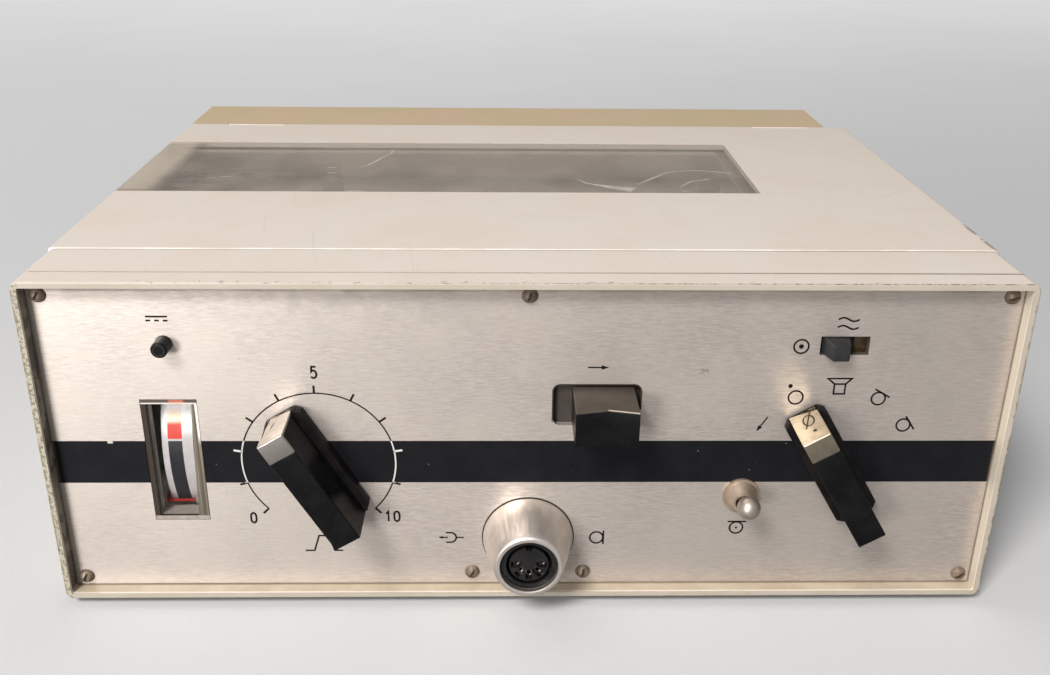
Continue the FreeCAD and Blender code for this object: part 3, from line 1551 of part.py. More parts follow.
def battery_case():
    """The olive box at the back with shelves, end walls and the pins of its door."""
    left, right = battery_span()
    top = case_height - battery_box_drop
    shell = box(left, right, case_rear, back_face, 0, top)
    edges = [edge for edge in shell.Edges
             if all(vertex.Y > back_face - 1e-6 for vertex in edge.Vertexes)]
    shell = shell.makeFillet(battery_wall, edges)
    hollow = box(left + battery_wall, right - battery_wall, case_rear + battery_wall,
                 back_face - battery_wall, battery_wall, top - battery_wall)
    x0, x1, z0, z1 = door_opening()
    opening = box(x0, x1, back_face - 2 * battery_wall, back_face + 1, z0, z1)
    shell = carve(shell, hollow, opening)
    shelf_back = back_face - 2 * battery_wall - touch_gap
    inner_left = battery_row_start() - battery_spring_length - battery_contact_thickness
    inner_right = battery_row_end() + battery_contact_thickness
    for row in range(battery_rows):
        floor = battery_floor(row)
        shell = shell.fuse(box(left + battery_wall, right - battery_wall, case_rear + battery_wall,
                               shelf_back, floor - battery_shelf, floor))
    wall_top = battery_floor(battery_rows)
    low = battery_floor(0) - battery_shelf
    for x in (inner_left - battery_wall, inner_right):
        shell = shell.fuse(box(x, x + battery_wall, case_rear + battery_wall, shelf_back, low, wall_top))
    y, z = door_axis()
    ear_reach = 2 * door_barrel_radius
    for x, direction in ((x0, -1), (x1, 1)):
        ear = sorted((x, x + direction * door_ear))
        pin = sorted((x + direction * door_ear, x + direction * (door_ear - door_pin_length)))
        shell = shell.fuse(box(ear[0], ear[1], y - ear_reach, back_face - battery_wall / 2,
                               z - ear_reach, z + ear_reach))
        shell = shell.fuse(rod_x(y, z, pin[0], pin[1], door_pin_radius))
    return shell.removeSplitter()


def battery_cells():
    """The cells, lying end to end in two rows."""
    cells = []
    y = battery_middle_y()
    for row in range(battery_rows):
        z = battery_floor(row) + battery_radius
        for column in range(battery_columns()):
            x = battery_row_start() + column * (battery_length + battery_nub_height)
            body = rod_x(y, z, x, x + battery_length, battery_radius)
            nub = rod_x(y, z, x + battery_length, x + battery_length + battery_nub_height, battery_nub_radius)
            cells.append(join(body, nub))
    return cells


def battery_contacts():
    """A spring plate at the left end and a flat plate at the right end of each row."""
    contacts = []
    y = battery_middle_y()
    half = battery_contact_size / 2
    for row in range(battery_rows):
        z = battery_floor(row) + battery_radius
        start = battery_row_start()
        spring = rod_x(y, z, start - battery_spring_length, start, battery_spring_radius)
        spring = spring.cut(rod_x(y, z, start - battery_spring_length - 1, start + 1,
                                  battery_spring_radius - battery_spring_wall))
        plate_end = start - battery_spring_length
        contacts.append(join(spring, box(plate_end - battery_contact_thickness, plate_end, y - half, y + half,
                                         z - half, z + half)))
        end = battery_row_end()
        contacts.append(box(end, end + battery_contact_thickness, y - half, y + half, z - half, z + half))
    return contacts


def battery_door():
    """The rear door with its hinge barrel and a finger notch."""
    x0, x1, z0, z1 = door_opening()
    y, z = door_axis()
    x0 += door_gap
    x1 -= door_gap
    plate = box(x0, x1, back_face - battery_wall, back_face, z, z1 - door_gap)
    notch = rod_y((x0 + x1) / 2, z1, back_face - battery_wall - 1, back_face + 1, door_notch_radius)
    door = join(plate.cut(notch), rod_x(y, z, x0, x1, door_barrel_radius))
    depth = door_pin_length - door_ear
    for start, end in ((x0 - 1, x0 + depth), (x1 - depth, x1 + 1)):
        door = door.cut(rod_x(y, z, start, end, door_pin_radius + hinge_running_gap))
    return door


save("front_bezel", front_bezel())
save("front_panel", front_panel())
save("panel_screws", *panel_screws())
save("case_shell", case_shell())
save("bottom_plate", bottom_plate())
save("case_screws", *case_screws())
save("rubber_feet", *rubber_feet())
save("lid_shell", lid_shell())
save("lid_window", lid_window())
save("lid_hinges", *lid_hinges())
save("meter_lens", meter_lens())
save("meter_scale", meter_scale())
save("meter_housing", meter_housing())
save("meter_needle", meter_needle())
save("level_control", level_control())
save("level_shaft", control_shaft(level_x, level_z, panel_back + level_body_depth - wall - edge_gap))
save("level_knob", bar_knob(level_x, level_z, level_rest_angle))
save("level_knob_cap", knob_cap(level_x, level_z, level_rest_angle))
save("selector_switch", selector_switch())
save("selector_shaft", control_shaft(selector_x, selector_z, selector_switch_end()))
save("selector_knob", bar_knob(selector_x, selector_z, selector_rest_angle))
save("selector_knob_cap", knob_cap(selector_x, selector_z, selector_rest_angle))
save("test_button", test_button())
save("transport_button", transport_button())
save("transport_slide", transport_slide())
save("transport_guide", *transport_guide())
save("switch_bodies", *switch_bodies())
save("slide_switch_knob", slide_switch_knob())
save("toggle_bush", toggle_bush())
save("toggle_lever", toggle_lever())
save("connector_boss", connector_boss())
save("connector_insert", connector_insert())
save("connector_contacts", *connector_contacts())
save("deck_plate", deck_plate())
save("lever_studs", *lever_studs())
save("deck_pillars", *deck_pillars())
save("head_bracket", head_bracket())
save("tape_heads", *tape_heads())
save("tape_guides", *tape_guides())
save("spindle_bearings", *spindle_bearings())
save("supply_turntable", turntable(-reel_spacing / 2))
save("supply_spindle", supply_spindle())
save("take_up_turntable", turntable(reel_spacing / 2))
save("take_up_spindle", take_up_spindle())
save("capstan_flywheel", *capstan_flywheel())
save("flywheel_bridge", flywheel_bridge())
save("drive_motor", drive_motor())
save("motor_pulley", motor_pulley())
save("drive_belts", *drive_belts())
save("pinch_arm", pinch_arm())
save("pinch_roller", pinch_roller())
save("supply_brake", brake(-1))
save("take_up_brake", brake(1))
save("circuit_boards", *circuit_boards())
save("board_components", *board_components())
save("loudspeaker", *loudspeaker())
save("battery_case", battery_case())
save("battery_cells", *battery_cells())
save("battery_contacts", *battery_contacts())
save("battery_door", battery_door())
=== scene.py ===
"""The looks of a portable tape recorder: finishes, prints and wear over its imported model.

Lengths are in millimetres and measured as the part is drawn: x to the right from the middle, y back
from the front edge of the bezel, z up from the underside of the case. PLACE moves them to the
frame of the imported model.
"""
import math
import bmesh
import bpy
import numpy as np
from functools import partial, reduce
from mathutils import Matrix


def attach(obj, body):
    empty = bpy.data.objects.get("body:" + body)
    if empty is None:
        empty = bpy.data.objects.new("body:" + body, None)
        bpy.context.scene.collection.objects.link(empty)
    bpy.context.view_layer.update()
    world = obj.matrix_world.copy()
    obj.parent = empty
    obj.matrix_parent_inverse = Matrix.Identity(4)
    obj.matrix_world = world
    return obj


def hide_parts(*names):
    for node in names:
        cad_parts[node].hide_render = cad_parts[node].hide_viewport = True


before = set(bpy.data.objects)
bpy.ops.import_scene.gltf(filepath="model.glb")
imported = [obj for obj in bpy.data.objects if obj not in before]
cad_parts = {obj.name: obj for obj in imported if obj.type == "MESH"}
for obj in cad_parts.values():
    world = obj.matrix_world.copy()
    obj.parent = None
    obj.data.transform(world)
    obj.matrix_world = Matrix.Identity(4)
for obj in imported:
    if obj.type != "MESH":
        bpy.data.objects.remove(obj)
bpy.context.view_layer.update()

# Where the drawing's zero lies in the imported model, and the size of its unit
PLACE = np.array((0.0, -109.0, 2.5))
MM = 0.001

# Front panel and the rim round it
PANEL_FRONT = 5.0
RIM_X = 138.2
RIM_LOW, RIM_HIGH = 1.8, 101.0
STRIPE_LOW, STRIPE_HIGH = 37.8, 51.8

# Prints, and painted shadow lines made like them: how far they stand out, how deep they begin under the
# surface, and the widths of their lines
PRINT_THICKNESS, PRINT_SUNK = 0.04, 0.02
SHADOW_LINE, FINE_LINE, SYMBOL_LINE, DIGIT_LINE, TICK_LINE = 0.34, 0.42, 0.52, 0.60, 0.64

# Controls on it: the middle of each as x and z, the turns of the knobs, and where the marked faces lie
LEVEL = (-61.4, 44.8)
LEVEL_REST = math.radians(-30.8)
SELECTOR = (89.2, 45.2)
SELECTOR_REST = math.radians(-31.0)
METER_X, METER_Z = -103.15, 45.15
SOCKET = (0.3, 18.6)
TEST_BUTTON = (-102.2, 82.8)
TEST_BUTTON_FRONT = -0.3
KNOB_REACH = 19.4

# Transport button: its top, and the share of x by which its front edge comes forward
TRANSPORT_TOP = 68.9
TRANSPORT_SLANT = 0.2247

# The slot round it: low and high x, low and high z, and the radius of its corners
TRANSPORT_SLOT = (7.1, 32.3, 57.0, 69.9)
SLOT_CORNER = 2.0

# Heads of the panel's screws: their middles, and the ball that each head is a part of
SCREWS = ((-134.7, 97.4), (0.0, 97.4), (134.7, 97.4), (-134.7, 5.0), (134.7, 5.0), (-16.75, 6.1),
          (17.35, 6.1))
SCREW_BALL_Y, SCREW_BALL_RADIUS = 5.3225, 2.3225

# Lid, and the window in it
LID_TOP = 102.8
LID_FRONT = 28.1
LID_SIDE = 140.0


def feed(tree, sockets, feeds):
    """Feeds sockets with numbers, colours or links, and leaves those alone that get nothing."""
    for key, value in feeds.items():
        if isinstance(value, bpy.types.NodeSocket):
            tree.links.new(value, sockets[key])
        elif value is not None:
            sockets[key].default_value = value


def put(tree, kind, feeds=None, **settings):
    """Adds one node, sets its options and feeds its sockets."""
    node = tree.nodes.new(kind)
    for key, value in settings.items():
        setattr(node, key, value)
    feed(tree, node.inputs, feeds or {})
    return node


def sums(tree, operation, *values, clamp=False):
    """The result of one Math node."""
    return put(tree, "ShaderNodeMath", dict(enumerate(values)), operation=operation,
               use_clamp=clamp).outputs[0]


def eased(tree, value, low, high):
    """0 below low, 1 above high, and a smooth step between them."""
    return put(tree, "ShaderNodeMapRange", {0: value, 1: low, 2: high, 3: 0.0, 4: 1.0},
               interpolation_type="SMOOTHSTEP").outputs[0]


def noise(tree, vector, scale, detail=2.0, roughness=0.5):
    """Noise between about 0.3 and 0.7 at the given number of waves in a millimetre."""
    return put(tree, "ShaderNodeTexNoise", {"Vector": vector, "Scale": scale, "Detail": detail,
                                            "Roughness": roughness}).outputs[0]


def parted(tree, vector):
    """The x, y and z of a vector."""
    return put(tree, "ShaderNodeSeparateXYZ", {0: vector}).outputs


def stretched(tree, vector, along, across):
    """The vector with x divided by one length and y and z by another."""
    x, y, z = parted(tree, vector)
    shares = [sums(tree, "DIVIDE", value, length) for value, length in ((x, along), (y, across), (z, across))]
    return put(tree, "ShaderNodeCombineXYZ", dict(enumerate(shares))).outputs[0]


def effect(name, inputs, make):
    """A node group with named inputs and one output, a mask between 0 and 1."""
    tree = bpy.data.node_groups.new(name, "ShaderNodeTree")
    kinds = {float: "NodeSocketFloat", tuple: "NodeSocketVector"}
    for label, value in inputs.items():
        socket = tree.interface.new_socket(label, in_out="INPUT", socket_type=kinds[type(value)])
        socket.default_value = value
    tree.interface.new_socket("Mask", in_out="OUTPUT", socket_type="NodeSocketFloat")
    taken = tree.nodes.new("NodeGroupInput").outputs
    put(tree, "NodeGroupOutput", {0: make(tree, *(taken[label] for label in inputs))})
    return tree


def make_patches(tree, vector, size):
    """Large soft patches: noise with a wave of the given size, spread to the whole of 0 to 1."""
    return eased(tree, noise(tree, vector, sums(tree, "DIVIDE", 1.0, size), 4.0, 0.6), 0.36, 0.64)


def make_flakes(tree, vector, size, share):
    """Ragged islands with hard edges: the same noise cut off so that about this share is left."""
    level = sums(tree, "SUBTRACT", 0.70, sums(tree, "MULTIPLY", share, 0.4))
    return eased(tree, noise(tree, vector, sums(tree, "DIVIDE", 1.0, size), 5.0, 0.65), level,
                 sums(tree, "ADD", level, 0.03))


def make_grain(tree, vector, size):
    """Fine even grain: noise with a wave of the given size."""
    return eased(tree, noise(tree, vector, sums(tree, "DIVIDE", 1.0, size), 2.0), 0.25, 0.75)


def make_specks(tree, vector, size, radius):
    """Scattered dots: balls of the radius about one seed in each cell, cut by the surface."""
    cells = put(tree, "ShaderNodeTexVoronoi", {"Vector": vector, "Scale": sums(tree, "DIVIDE", 1.0, size)})
    distance = sums(tree, "MULTIPLY", cells.outputs[0], size)
    return sums(tree, "SUBTRACT", 1.0, eased(tree, distance, sums(tree, "MULTIPLY", radius, 0.6), radius))


def make_hairline(tree, vector, length, pitch):
    """Streaks along x, such as brushing: long narrow noise, fine lines over broader ones."""
    fine = noise(tree, stretched(tree, vector, length, pitch), 1.0, 3.0, 0.65)
    broad = noise(tree, stretched(tree, vector, sums(tree, "MULTIPLY", length, 1.6),
                                  sums(tree, "MULTIPLY", pitch, 3.5)), 1.0, 2.0)
    both = sums(tree, "ADD", sums(tree, "MULTIPLY", fine, 0.7), sums(tree, "MULTIPLY", broad, 0.3))
    return eased(tree, both, 0.39, 0.61)


def make_marks(tree, vector, turn, length, width):
    """Thin straight scratches: noise stretched along one turned direction, of which the crests are kept."""
    turned = put(tree, "ShaderNodeVectorRotate", {"Vector": vector, "Rotation": turn},
                 rotation_type="EULER_XYZ").outputs[0]
    return eased(tree, noise(tree, stretched(tree, turned, length, width), 1.0, 1.0), 0.70, 0.75)


def make_band(tree, value, low, high, soft):
    """1 between low and high, and 0 outside them, with edges as wide as soft."""
    rise = eased(tree, value, sums(tree, "SUBTRACT", low, soft), sums(tree, "ADD", low, soft))
    fall = eased(tree, value, sums(tree, "SUBTRACT", high, soft), sums(tree, "ADD", high, soft))
    return sums(tree, "MULTIPLY", rise, sums(tree, "SUBTRACT", 1.0, fall))


AT = (0.0, 0.0, 0.0)
EFFECTS = {
    "patches": effect("soft_patches", {"Vector": AT, "Size": 30.0}, make_patches),
    "flakes": effect("ragged_flakes", {"Vector": AT, "Size": 3.0, "Share": 0.3}, make_flakes),
    "grain": effect("fine_grain", {"Vector": AT, "Size": 0.5}, make_grain),
    "specks": effect("specks", {"Vector": AT, "Size": 6.0, "Radius": 0.2}, make_specks),
    "hairline": effect("hairline_streaks", {"Vector": AT, "Length": 8.0, "Pitch": 0.3}, make_hairline),
    "marks": effect("straight_scratches", {"Vector": AT, "Turn": AT, "Length": 20.0, "Width": 0.4},
                    make_marks),
    "band": effect("band", {"Value": 0.0, "Low": 0.0, "High": 1.0, "Soft": 0.1}, make_band),
}

# Directions of scratches on surfaces that lie flat, and on surfaces that stand
FLAT_TURNS = ((0.0, 0.0, 0.45), (0.0, 0.0, -0.7), (0.0, 0.0, 1.4))
UPRIGHT_TURNS = ((0.0, 0.4, 0.0), (0.0, -0.75, 0.0), (0.0, 1.35, 0.0))


class Finish:
    """One finish: a colour and a roughness that take layers under masks, and a relief in millimetres."""

    def __init__(self, name, colour, roughness, **constants):
        self.material = bpy.data.materials.new(name)
        self.material.use_nodes = True
        self.tree = self.material.node_tree
        self.shader = self.tree.nodes["Principled BSDF"]
        self.colour = (*colour, 1.0)
        self.roughness = roughness
        self.height = None
        self.alpha = None
        feed(self.tree, self.shader.inputs,
             {key.replace("_", " "): value for key, value in constants.items()})
        metres = put(self.tree, "ShaderNodeTexCoord").outputs["Object"]
        self.where = put(self.tree, "ShaderNodeVectorMath", {0: metres, 1: (1 / MM,) * 3, 2: tuple(-PLACE)},
                         operation="MULTIPLY_ADD").outputs[0]
        self.x, self.y, self.z = parted(self.tree, self.where)

    def mask(self, kind, **feeds):
        """The mask of a shared effect, placed on this finish with its own sizes."""
        if kind != "band":
            feeds.setdefault("Vector", self.where)
        return put(self.tree, "ShaderNodeGroup", feeds, node_tree=EFFECTS[kind]).outputs[0]

    def patches(self, size):
        """Large soft patches."""
        return self.mask("patches", Size=size)

    def flakes(self, size, share):
        """Ragged islands with hard edges."""
        return self.mask("flakes", Size=size, Share=share)

    def grain(self, size):
        """Fine even grain."""
        return self.mask("grain", Size=size)

    def specks(self, size, radius):
        """Scattered dots."""
        return self.mask("specks", Size=size, Radius=radius)

    def above(self, value, low, high):
        """0 below low, 1 above high, and a smooth step between them."""
        return eased(self.tree, value, low, high)

    def below(self, value, low, high):
        """1 below low, 0 above high, and a smooth step between them."""
        return self.without(self.above(value, low, high))

    def band(self, value, low, high, soft):
        """1 where the value lies between low and high."""
        return self.mask("band", Value=value, Low=low, High=high, Soft=soft)

    def near(self, value, place, reach, soft):
        """1 where the value lies within a reach of a place."""
        return self.band(value, place - reach, place + reach, soft)

    def times(self, *masks):
        """The product of masks and numbers."""
        return reduce(partial(sums, self.tree, "MULTIPLY"), masks)

    def plus(self, one, other):
        """The sum of two values."""
        return sums(self.tree, "ADD", one, other)

    def either(self, *masks):
        """The largest of masks."""
        return reduce(partial(sums, self.tree, "MAXIMUM"), masks)

    def without(self, mask):
        """1 less the mask."""
        return sums(self.tree, "SUBTRACT", 1.0, mask)

    def spot(self, middle, radius, soft):
        """1 within a radius of a place on the panel, given as x and z."""
        across = sums(self.tree, "SUBTRACT", self.x, middle[0])
        up = sums(self.tree, "SUBTRACT", self.z, middle[1])
        squares = [sums(self.tree, "POWER", way, 2.0) for way in (across, up)]
        distance = sums(self.tree, "SQRT", self.plus(*squares))
        return self.below(distance, radius - soft, radius + soft)

    def scratches(self, length, width, turns=UPRIGHT_TURNS):
        """Straight scratches in several directions."""
        return self.either(*(self.mask("marks", Turn=turn, Length=length, Width=width) for turn in turns))

    def layer(self, mask, colour, roughness=None):
        """Where the mask, or the product of several, is 1 the surface has this colour and roughness."""
        if isinstance(mask, tuple):
            mask = self.times(*mask)
        self.colour = put(self.tree, "ShaderNodeMix", {0: mask, 6: self.colour, 7: (*colour, 1.0)},
                          data_type="RGBA").outputs[2]
        if roughness is not None:
            self.roughness = put(self.tree, "ShaderNodeMix",
                                 {0: mask, 2: self.roughness, 3: roughness}).outputs[0]
        return self

    def relief(self, mask, height):
        """Raises the surface by this height where the mask is 1."""
        raised = self.times(mask, height)
        self.height = raised if self.height is None else self.plus(self.height, raised)
        return self

    def metallic(self, value):
        """Feeds the metal share with a mask."""
        self.tree.links.new(value, self.shader.inputs["Metallic"])
        return self

    def done(self):
        """Feeds the shader and returns the material."""
        bump = None
        if self.height is not None:
            bump = put(self.tree, "ShaderNodeBump", {"Height": self.height, "Distance": MM}).outputs[0]
        feed(self.tree, self.shader.inputs, {"Base Color": self.colour, "Roughness": self.roughness,
                                             "Alpha": self.alpha, "Normal": bump})
        return self.material


CREAM = (0.775, 0.690, 0.615)
CREAM_SHADE = (0.735, 0.640, 0.555)
OLIVE = (0.60, 0.48, 0.30)
OLIVE_SHADE = (0.62, 0.46, 0.315)
GRIME = (0.21, 0.175, 0.10)
CHIP = (0.13, 0.10, 0.075)
ALUMINIUM = (0.69, 0.62, 0.57)
INK = (0.0080, 0.0080, 0.0100)
BLACK = (0.0045, 0.0045, 0.0050)


def painted(name, colour, shade, roughness=0.42, patch=45.0, turns=FLAT_TURNS):
    """Stoved enamel: soft patches of a second tone, orange peel, rub marks and a few fine dark specks."""
    f = Finish(name, colour, roughness, Coat_Weight=0.12, Coat_Roughness=0.25)
    f.layer((f.patches(patch), 0.85), shade, roughness + 0.08)
    f.layer((f.grain(3.0), 0.1), shade)
    f.layer((f.scratches(45.0, 1.2, turns), 0.22), [0.8 * tone for tone in shade], roughness + 0.12)
    f.layer((f.specks(7.0, 0.22), 0.6), (0.30, 0.24, 0.17))
    return f.relief(f.grain(0.9), 0.009)


def moulded(name, colour, worn, roughness, relief=0.008, shine=0.12):
    """Moulded plastic: fine grain, faint rubbed patches, and a few hair scratches."""
    f = Finish(name, colour, roughness, Specular_IOR_Level=shine)
    f.layer((f.patches(9.0), 0.3), worn, roughness + 0.1)
    f.layer((f.scratches(9.0, 0.35), 0.35), worn, roughness + 0.2)
    f.layer((f.specks(3.0, 0.12), 0.5), worn)
    return f.relief(f.grain(0.35), relief)


def metal(name, colour, tarnish, roughness=0.32, grain=0.4, share=0.55, weight=1.0, patch=6.0):
    """Bare metal: patches of tarnish, fine grain, and hair scratches."""
    f = Finish(name, colour, roughness, Metallic=weight)
    f.layer((f.patches(patch), share), tarnish, roughness + 0.14)
    f.layer((f.grain(grain), 0.25), tarnish, roughness + 0.06)
    f.layer((f.scratches(7.0, 0.25), 0.4), colour, roughness + 0.2)
    return f.relief(f.grain(grain), 0.004)


def cream_lid():
    """Enamel of the lid: a front edge lightened partly by rubbed paint and partly by a painted highlight, and
    chips near the front of its right-hand edge.
    """
    f = painted("cream_enamel_lid", CREAM, CREAM_SHADE)
    # Painted highlight along the rounded front edge, over rubbed paint.
    front_edge_wear_and_highlight = f.times(f.band(f.y, 20.0, LID_FRONT + 1.1, 0.3), f.band(f.z, LID_TOP - 1.0, 110.0, 0.3))
    f.layer((front_edge_wear_and_highlight, f.patches(14.0), 0.9), (0.90, 0.84, 0.78))
    side_edge = f.times(f.band(f.x, LID_SIDE - 1.6, 150.0, 0.4),
                        f.band(f.y, LID_FRONT, LID_FRONT + 26.0, 5.0), f.flakes(4.0, 0.6))
    f.layer((side_edge, 0.85), (0.27, 0.21, 0.15), 0.6)
    return f.relief(side_edge, -0.08)


def cream_case():
    """Enamel of the body: painted shade in the gap where the lid meets the strip between them and in the
    groove where the bezel meets it, stronger towards the right, and a grimy foot.
    """
    f = painted("cream_enamel_case", CREAM, CREAM_SHADE)
    # Painted shade in the gap under the lid's front edge; the next mask makes it stronger towards the right,
    # away from the light.
    gap = f.times(f.band(f.y, LID_FRONT - 0.9, LID_FRONT + 2.0, 0.15), f.band(f.z, 95.0, 110.0, 0.5))
    side = f.plus(0.55, f.times(f.above(f.x, -40.0, 120.0), 0.4))
    f.layer((gap, side), (0.24, 0.18, 0.13), 0.7)
    # Painted shade in the groove between bezel and strip, also stronger towards the right.
    groove = f.below(f.y, 8.84, 8.94)
    f.layer((groove, side), (0.25, 0.19, 0.135), 0.65)
    return f.layer((f.below(f.z, 1.5, 9.0), f.flakes(6.0, 0.35), 0.5), GRIME, 0.6)


def cream_bezel():
    """Enamel of the bezel: front faces painted darker as shade, a painted shadow on the left inner wall,
    browned right and lower inner walls, dirty edges and small chips.
    """
    f = painted("cream_enamel_bezel", CREAM, CREAM_SHADE, turns=UPRIGHT_TURNS)
    depth = f.times(f.band(f.y, 0.9, 30.0, 0.35), f.below(f.z, RIM_HIGH, RIM_HIGH + 0.4))
    # Painted shadow on the left inner wall, which faces away from the light, with paler flecks on it.
    left = f.times(f.near(f.x, -RIM_X, 0.5, 0.15), depth)
    f.layer((left, 0.95), (0.075, 0.060, 0.042), 0.6)
    f.layer((left, f.flakes(7.0, 0.5), 0.8), (0.27, 0.235, 0.19))
    right = f.times(f.near(f.x, RIM_X, 0.5, 0.15), depth)
    f.layer((right, 0.85), (0.56, 0.49, 0.385))
    floor = f.times(f.near(f.z, RIM_LOW, 0.5, 0.15), depth)
    f.layer((floor, 0.9), (0.475, 0.40, 0.29))
    f.layer((floor, f.patches(9.0), 0.4), (0.34, 0.26, 0.17))
    joint = f.times(f.band(f.y, PANEL_FRONT - 0.7, PANEL_FRONT + 1.0, 0.2), f.either(right, floor))
    f.layer((joint, 0.75), (0.20, 0.145, 0.09), 0.7)
    # Painted shade: the front faces are painted darker than the enamel; the patches and flakes on them are
    # dirt.
    face = f.band(f.y, -2.0, 0.3, 0.2)
    f.layer(face, (0.44, 0.39, 0.325), 0.5)
    f.layer((face, f.patches(16.0), 0.6), (0.39, 0.34, 0.265))
    f.layer((face, f.flakes(3.0, 0.15), 0.5), (0.33, 0.27, 0.20))
    left_face = f.times(face, f.below(f.x, -RIM_X - 0.2, -RIM_X + 1.2))
    f.layer((left_face, 0.75), (0.42, 0.385, 0.295), 0.6)
    f.layer((left_face, f.flakes(1.0, 0.48), 0.8), (0.13, 0.11, 0.075), 0.7)
    sides = f.without(f.band(f.x, -LID_SIDE + 0.7, LID_SIDE - 0.7, 0.25))
    ends = f.without(f.band(f.z, 0.4, LID_TOP - 0.22, 0.1))
    edge = f.band(f.y, -2.0, 0.5, 0.2)
    rightwards = f.above(f.x, -120.0, 90.0)
    ragged = f.plus(0.4, f.times(f.flakes(1.6, 0.5), 0.6))
    f.layer((ends, edge, ragged, rightwards, 0.9), (0.15, 0.11, 0.08), 0.65)
    f.layer((sides, edge, f.flakes(3.0, 0.55), 0.75), GRIME, 0.6)
    chips = f.times(f.either(sides, f.times(ends, 0.5)), f.band(f.y, -2.0, 1.6, 0.5), f.flakes(2.4, 0.24))
    f.layer(chips, CHIP, 0.7)
    f.layer((f.specks(3.2, 0.2), 0.6), (0.22, 0.16, 0.11))
    return f.relief(chips, -0.10)


def brushed_panel():
    """Anodised plate brushed along x: smudges, a painted shadow with grime under the top of the rim, grime
    along its other edges, painted shade on the walls of its cuts, and the printed stripe.
    """
    f = Finish("brushed_panel", ALUMINIUM, 0.42, Metallic=0.72, Specular_IOR_Level=0.08, Anisotropic=0.5,
               Anisotropic_Rotation=0.25)
    brushing = f.mask("hairline", Length=3.2, Pitch=0.24)
    f.layer((brushing, 0.65), (0.40, 0.34, 0.305), 0.5)
    f.layer((f.grain(0.9), 0.3), (0.52, 0.455, 0.41))
    f.layer((f.patches(26.0), 0.35), (0.72, 0.63, 0.56))
    tall = stretched(f.tree, f.where, 1.0, 1.6)
    f.layer((f.mask("patches", Vector=tall, Size=34.0), 0.3), (0.56, 0.52, 0.46))
    smudge = f.times(f.patches(4.0), f.band(f.z, 90.0, 98.0, 3.5), f.band(f.x, -90.0, -20.0, 18.0))
    f.layer((smudge, 0.3), (0.34, 0.31, 0.28), 0.5)
    f.layer((f.scratches(22.0, 0.5), 0.12), (0.80, 0.74, 0.69), 0.35)
    f.layer((f.specks(6.5, 0.22), 0.7), (0.20, 0.15, 0.11), 0.6)
    f.layer((f.spot((50.2, 74.3), 1.3, 0.6), f.flakes(1.0, 0.55), 0.7), (0.30, 0.22, 0.18), 0.6)
    f.relief(brushing, 0.007)
    # Painted shadow under the top of the rim, with grime, darkest at the top; dark grime lines along the
    # bottom and the sides.
    edge = f.either(f.above(f.z, 97.7, 98.9), f.times(f.above(f.z, 94.0, 98.5), 0.35),
                    f.times(f.band(f.z, -5.0, RIM_LOW + 0.35, 0.25), 0.6),
                    f.times(f.without(f.band(f.x, -RIM_X + 0.7, RIM_X - 0.4, 0.35)), 0.8))
    stripe = f.times(f.band(f.z, STRIPE_LOW, STRIPE_HIGH, 0.03), f.band(f.y, 4.0, PANEL_FRONT + 0.2, 0.05))
    nick = f.times(f.band(f.x, -122.1, -120.6, 0.15), f.band(f.z, 51.0, 52.0, 0.12))
    stripe = f.times(stripe, f.without(nick))
    f.layer(stripe, INK, 0.42)
    f.layer((stripe, f.patches(7.0), 0.35), (0.013, 0.012, 0.014), 0.5)
    f.layer((stripe, f.specks(5.0, 0.2), 0.8), (0.30, 0.27, 0.25))
    f.layer((edge, f.patches(12.0), 0.35), (0.12, 0.095, 0.07), 0.6)
    f.layer((edge, 0.45), (0.16, 0.125, 0.095), 0.6)
    # Painted shade on the walls of the cuts, all but the lower edge of the transport slot.
    cut = f.times(f.above(f.y, PANEL_FRONT + 0.03, PANEL_FRONT + 0.12),
                  f.without(f.near(f.z, TRANSPORT_SLOT[2], 0.2, 0.05)))
    f.layer((cut, 0.9), (0.03, 0.024, 0.018), 0.7)
    shine = f.without(f.either(stripe, f.times(edge, 0.6), f.times(cut, 0.9)))
    return f.metallic(f.times(shine, 0.72))


def printing_ink_and_shadow():
    """Screen-printed ink: black on the metal and white where it crosses the stripe; its black also paints the
    shadow round the socket's boss.
    """
    f = Finish("printing_ink_and_shadow", (0.008, 0.006, 0.006), 0.5, Specular_IOR_Level=0.1)
    f.layer((f.patches(2.0), 0.35), (0.025, 0.020, 0.018), 0.6)
    inside = f.band(f.z, STRIPE_LOW, STRIPE_HIGH, 0.02)
    f.layer(inside, (0.62, 0.60, 0.57))
    f.layer((inside, f.grain(0.5), 0.3), (0.35, 0.33, 0.32))
    return f.relief(f.grain(0.2), 0.002)


def scale_printing():
    """Meter scale: white, with a middle strip that is black, then red, then fades to white; the white at its
    top and the orange fade into it are painted glare.
    """
    f = Finish("scale_printing", (0.54, 0.505, 0.50), 0.45)
    f.layer((f.patches(4.0), 0.4), (0.43, 0.40, 0.395))
    # Painted glare: the top of the scale is painted white.
    f.layer(f.above(f.z, 50.0, 55.0), (0.97, 0.96, 0.93))
    f.layer((f.below(f.z, 28.5, 32.0), 0.75), (0.24, 0.17, 0.16))
    middle = f.band(f.x, METER_X - 2.75, METER_X + 1.4, 0.06)
    f.layer((middle, f.band(f.z, 20.0, 49.75, 0.08)), (0.010, 0.011, 0.016))
    # Orange fade of the red into the painted glare.
    f.layer((middle, f.band(f.z, 54.0, 58.6, 1.0), 0.55), (1.0, 0.66, 0.32))
    f.layer((middle, f.above(f.z, 50.25, 50.5), f.below(f.z, 54.4, 56.0)), (0.64, 0.032, 0.012))
    return f.relief(f.grain(0.3), 0.003)


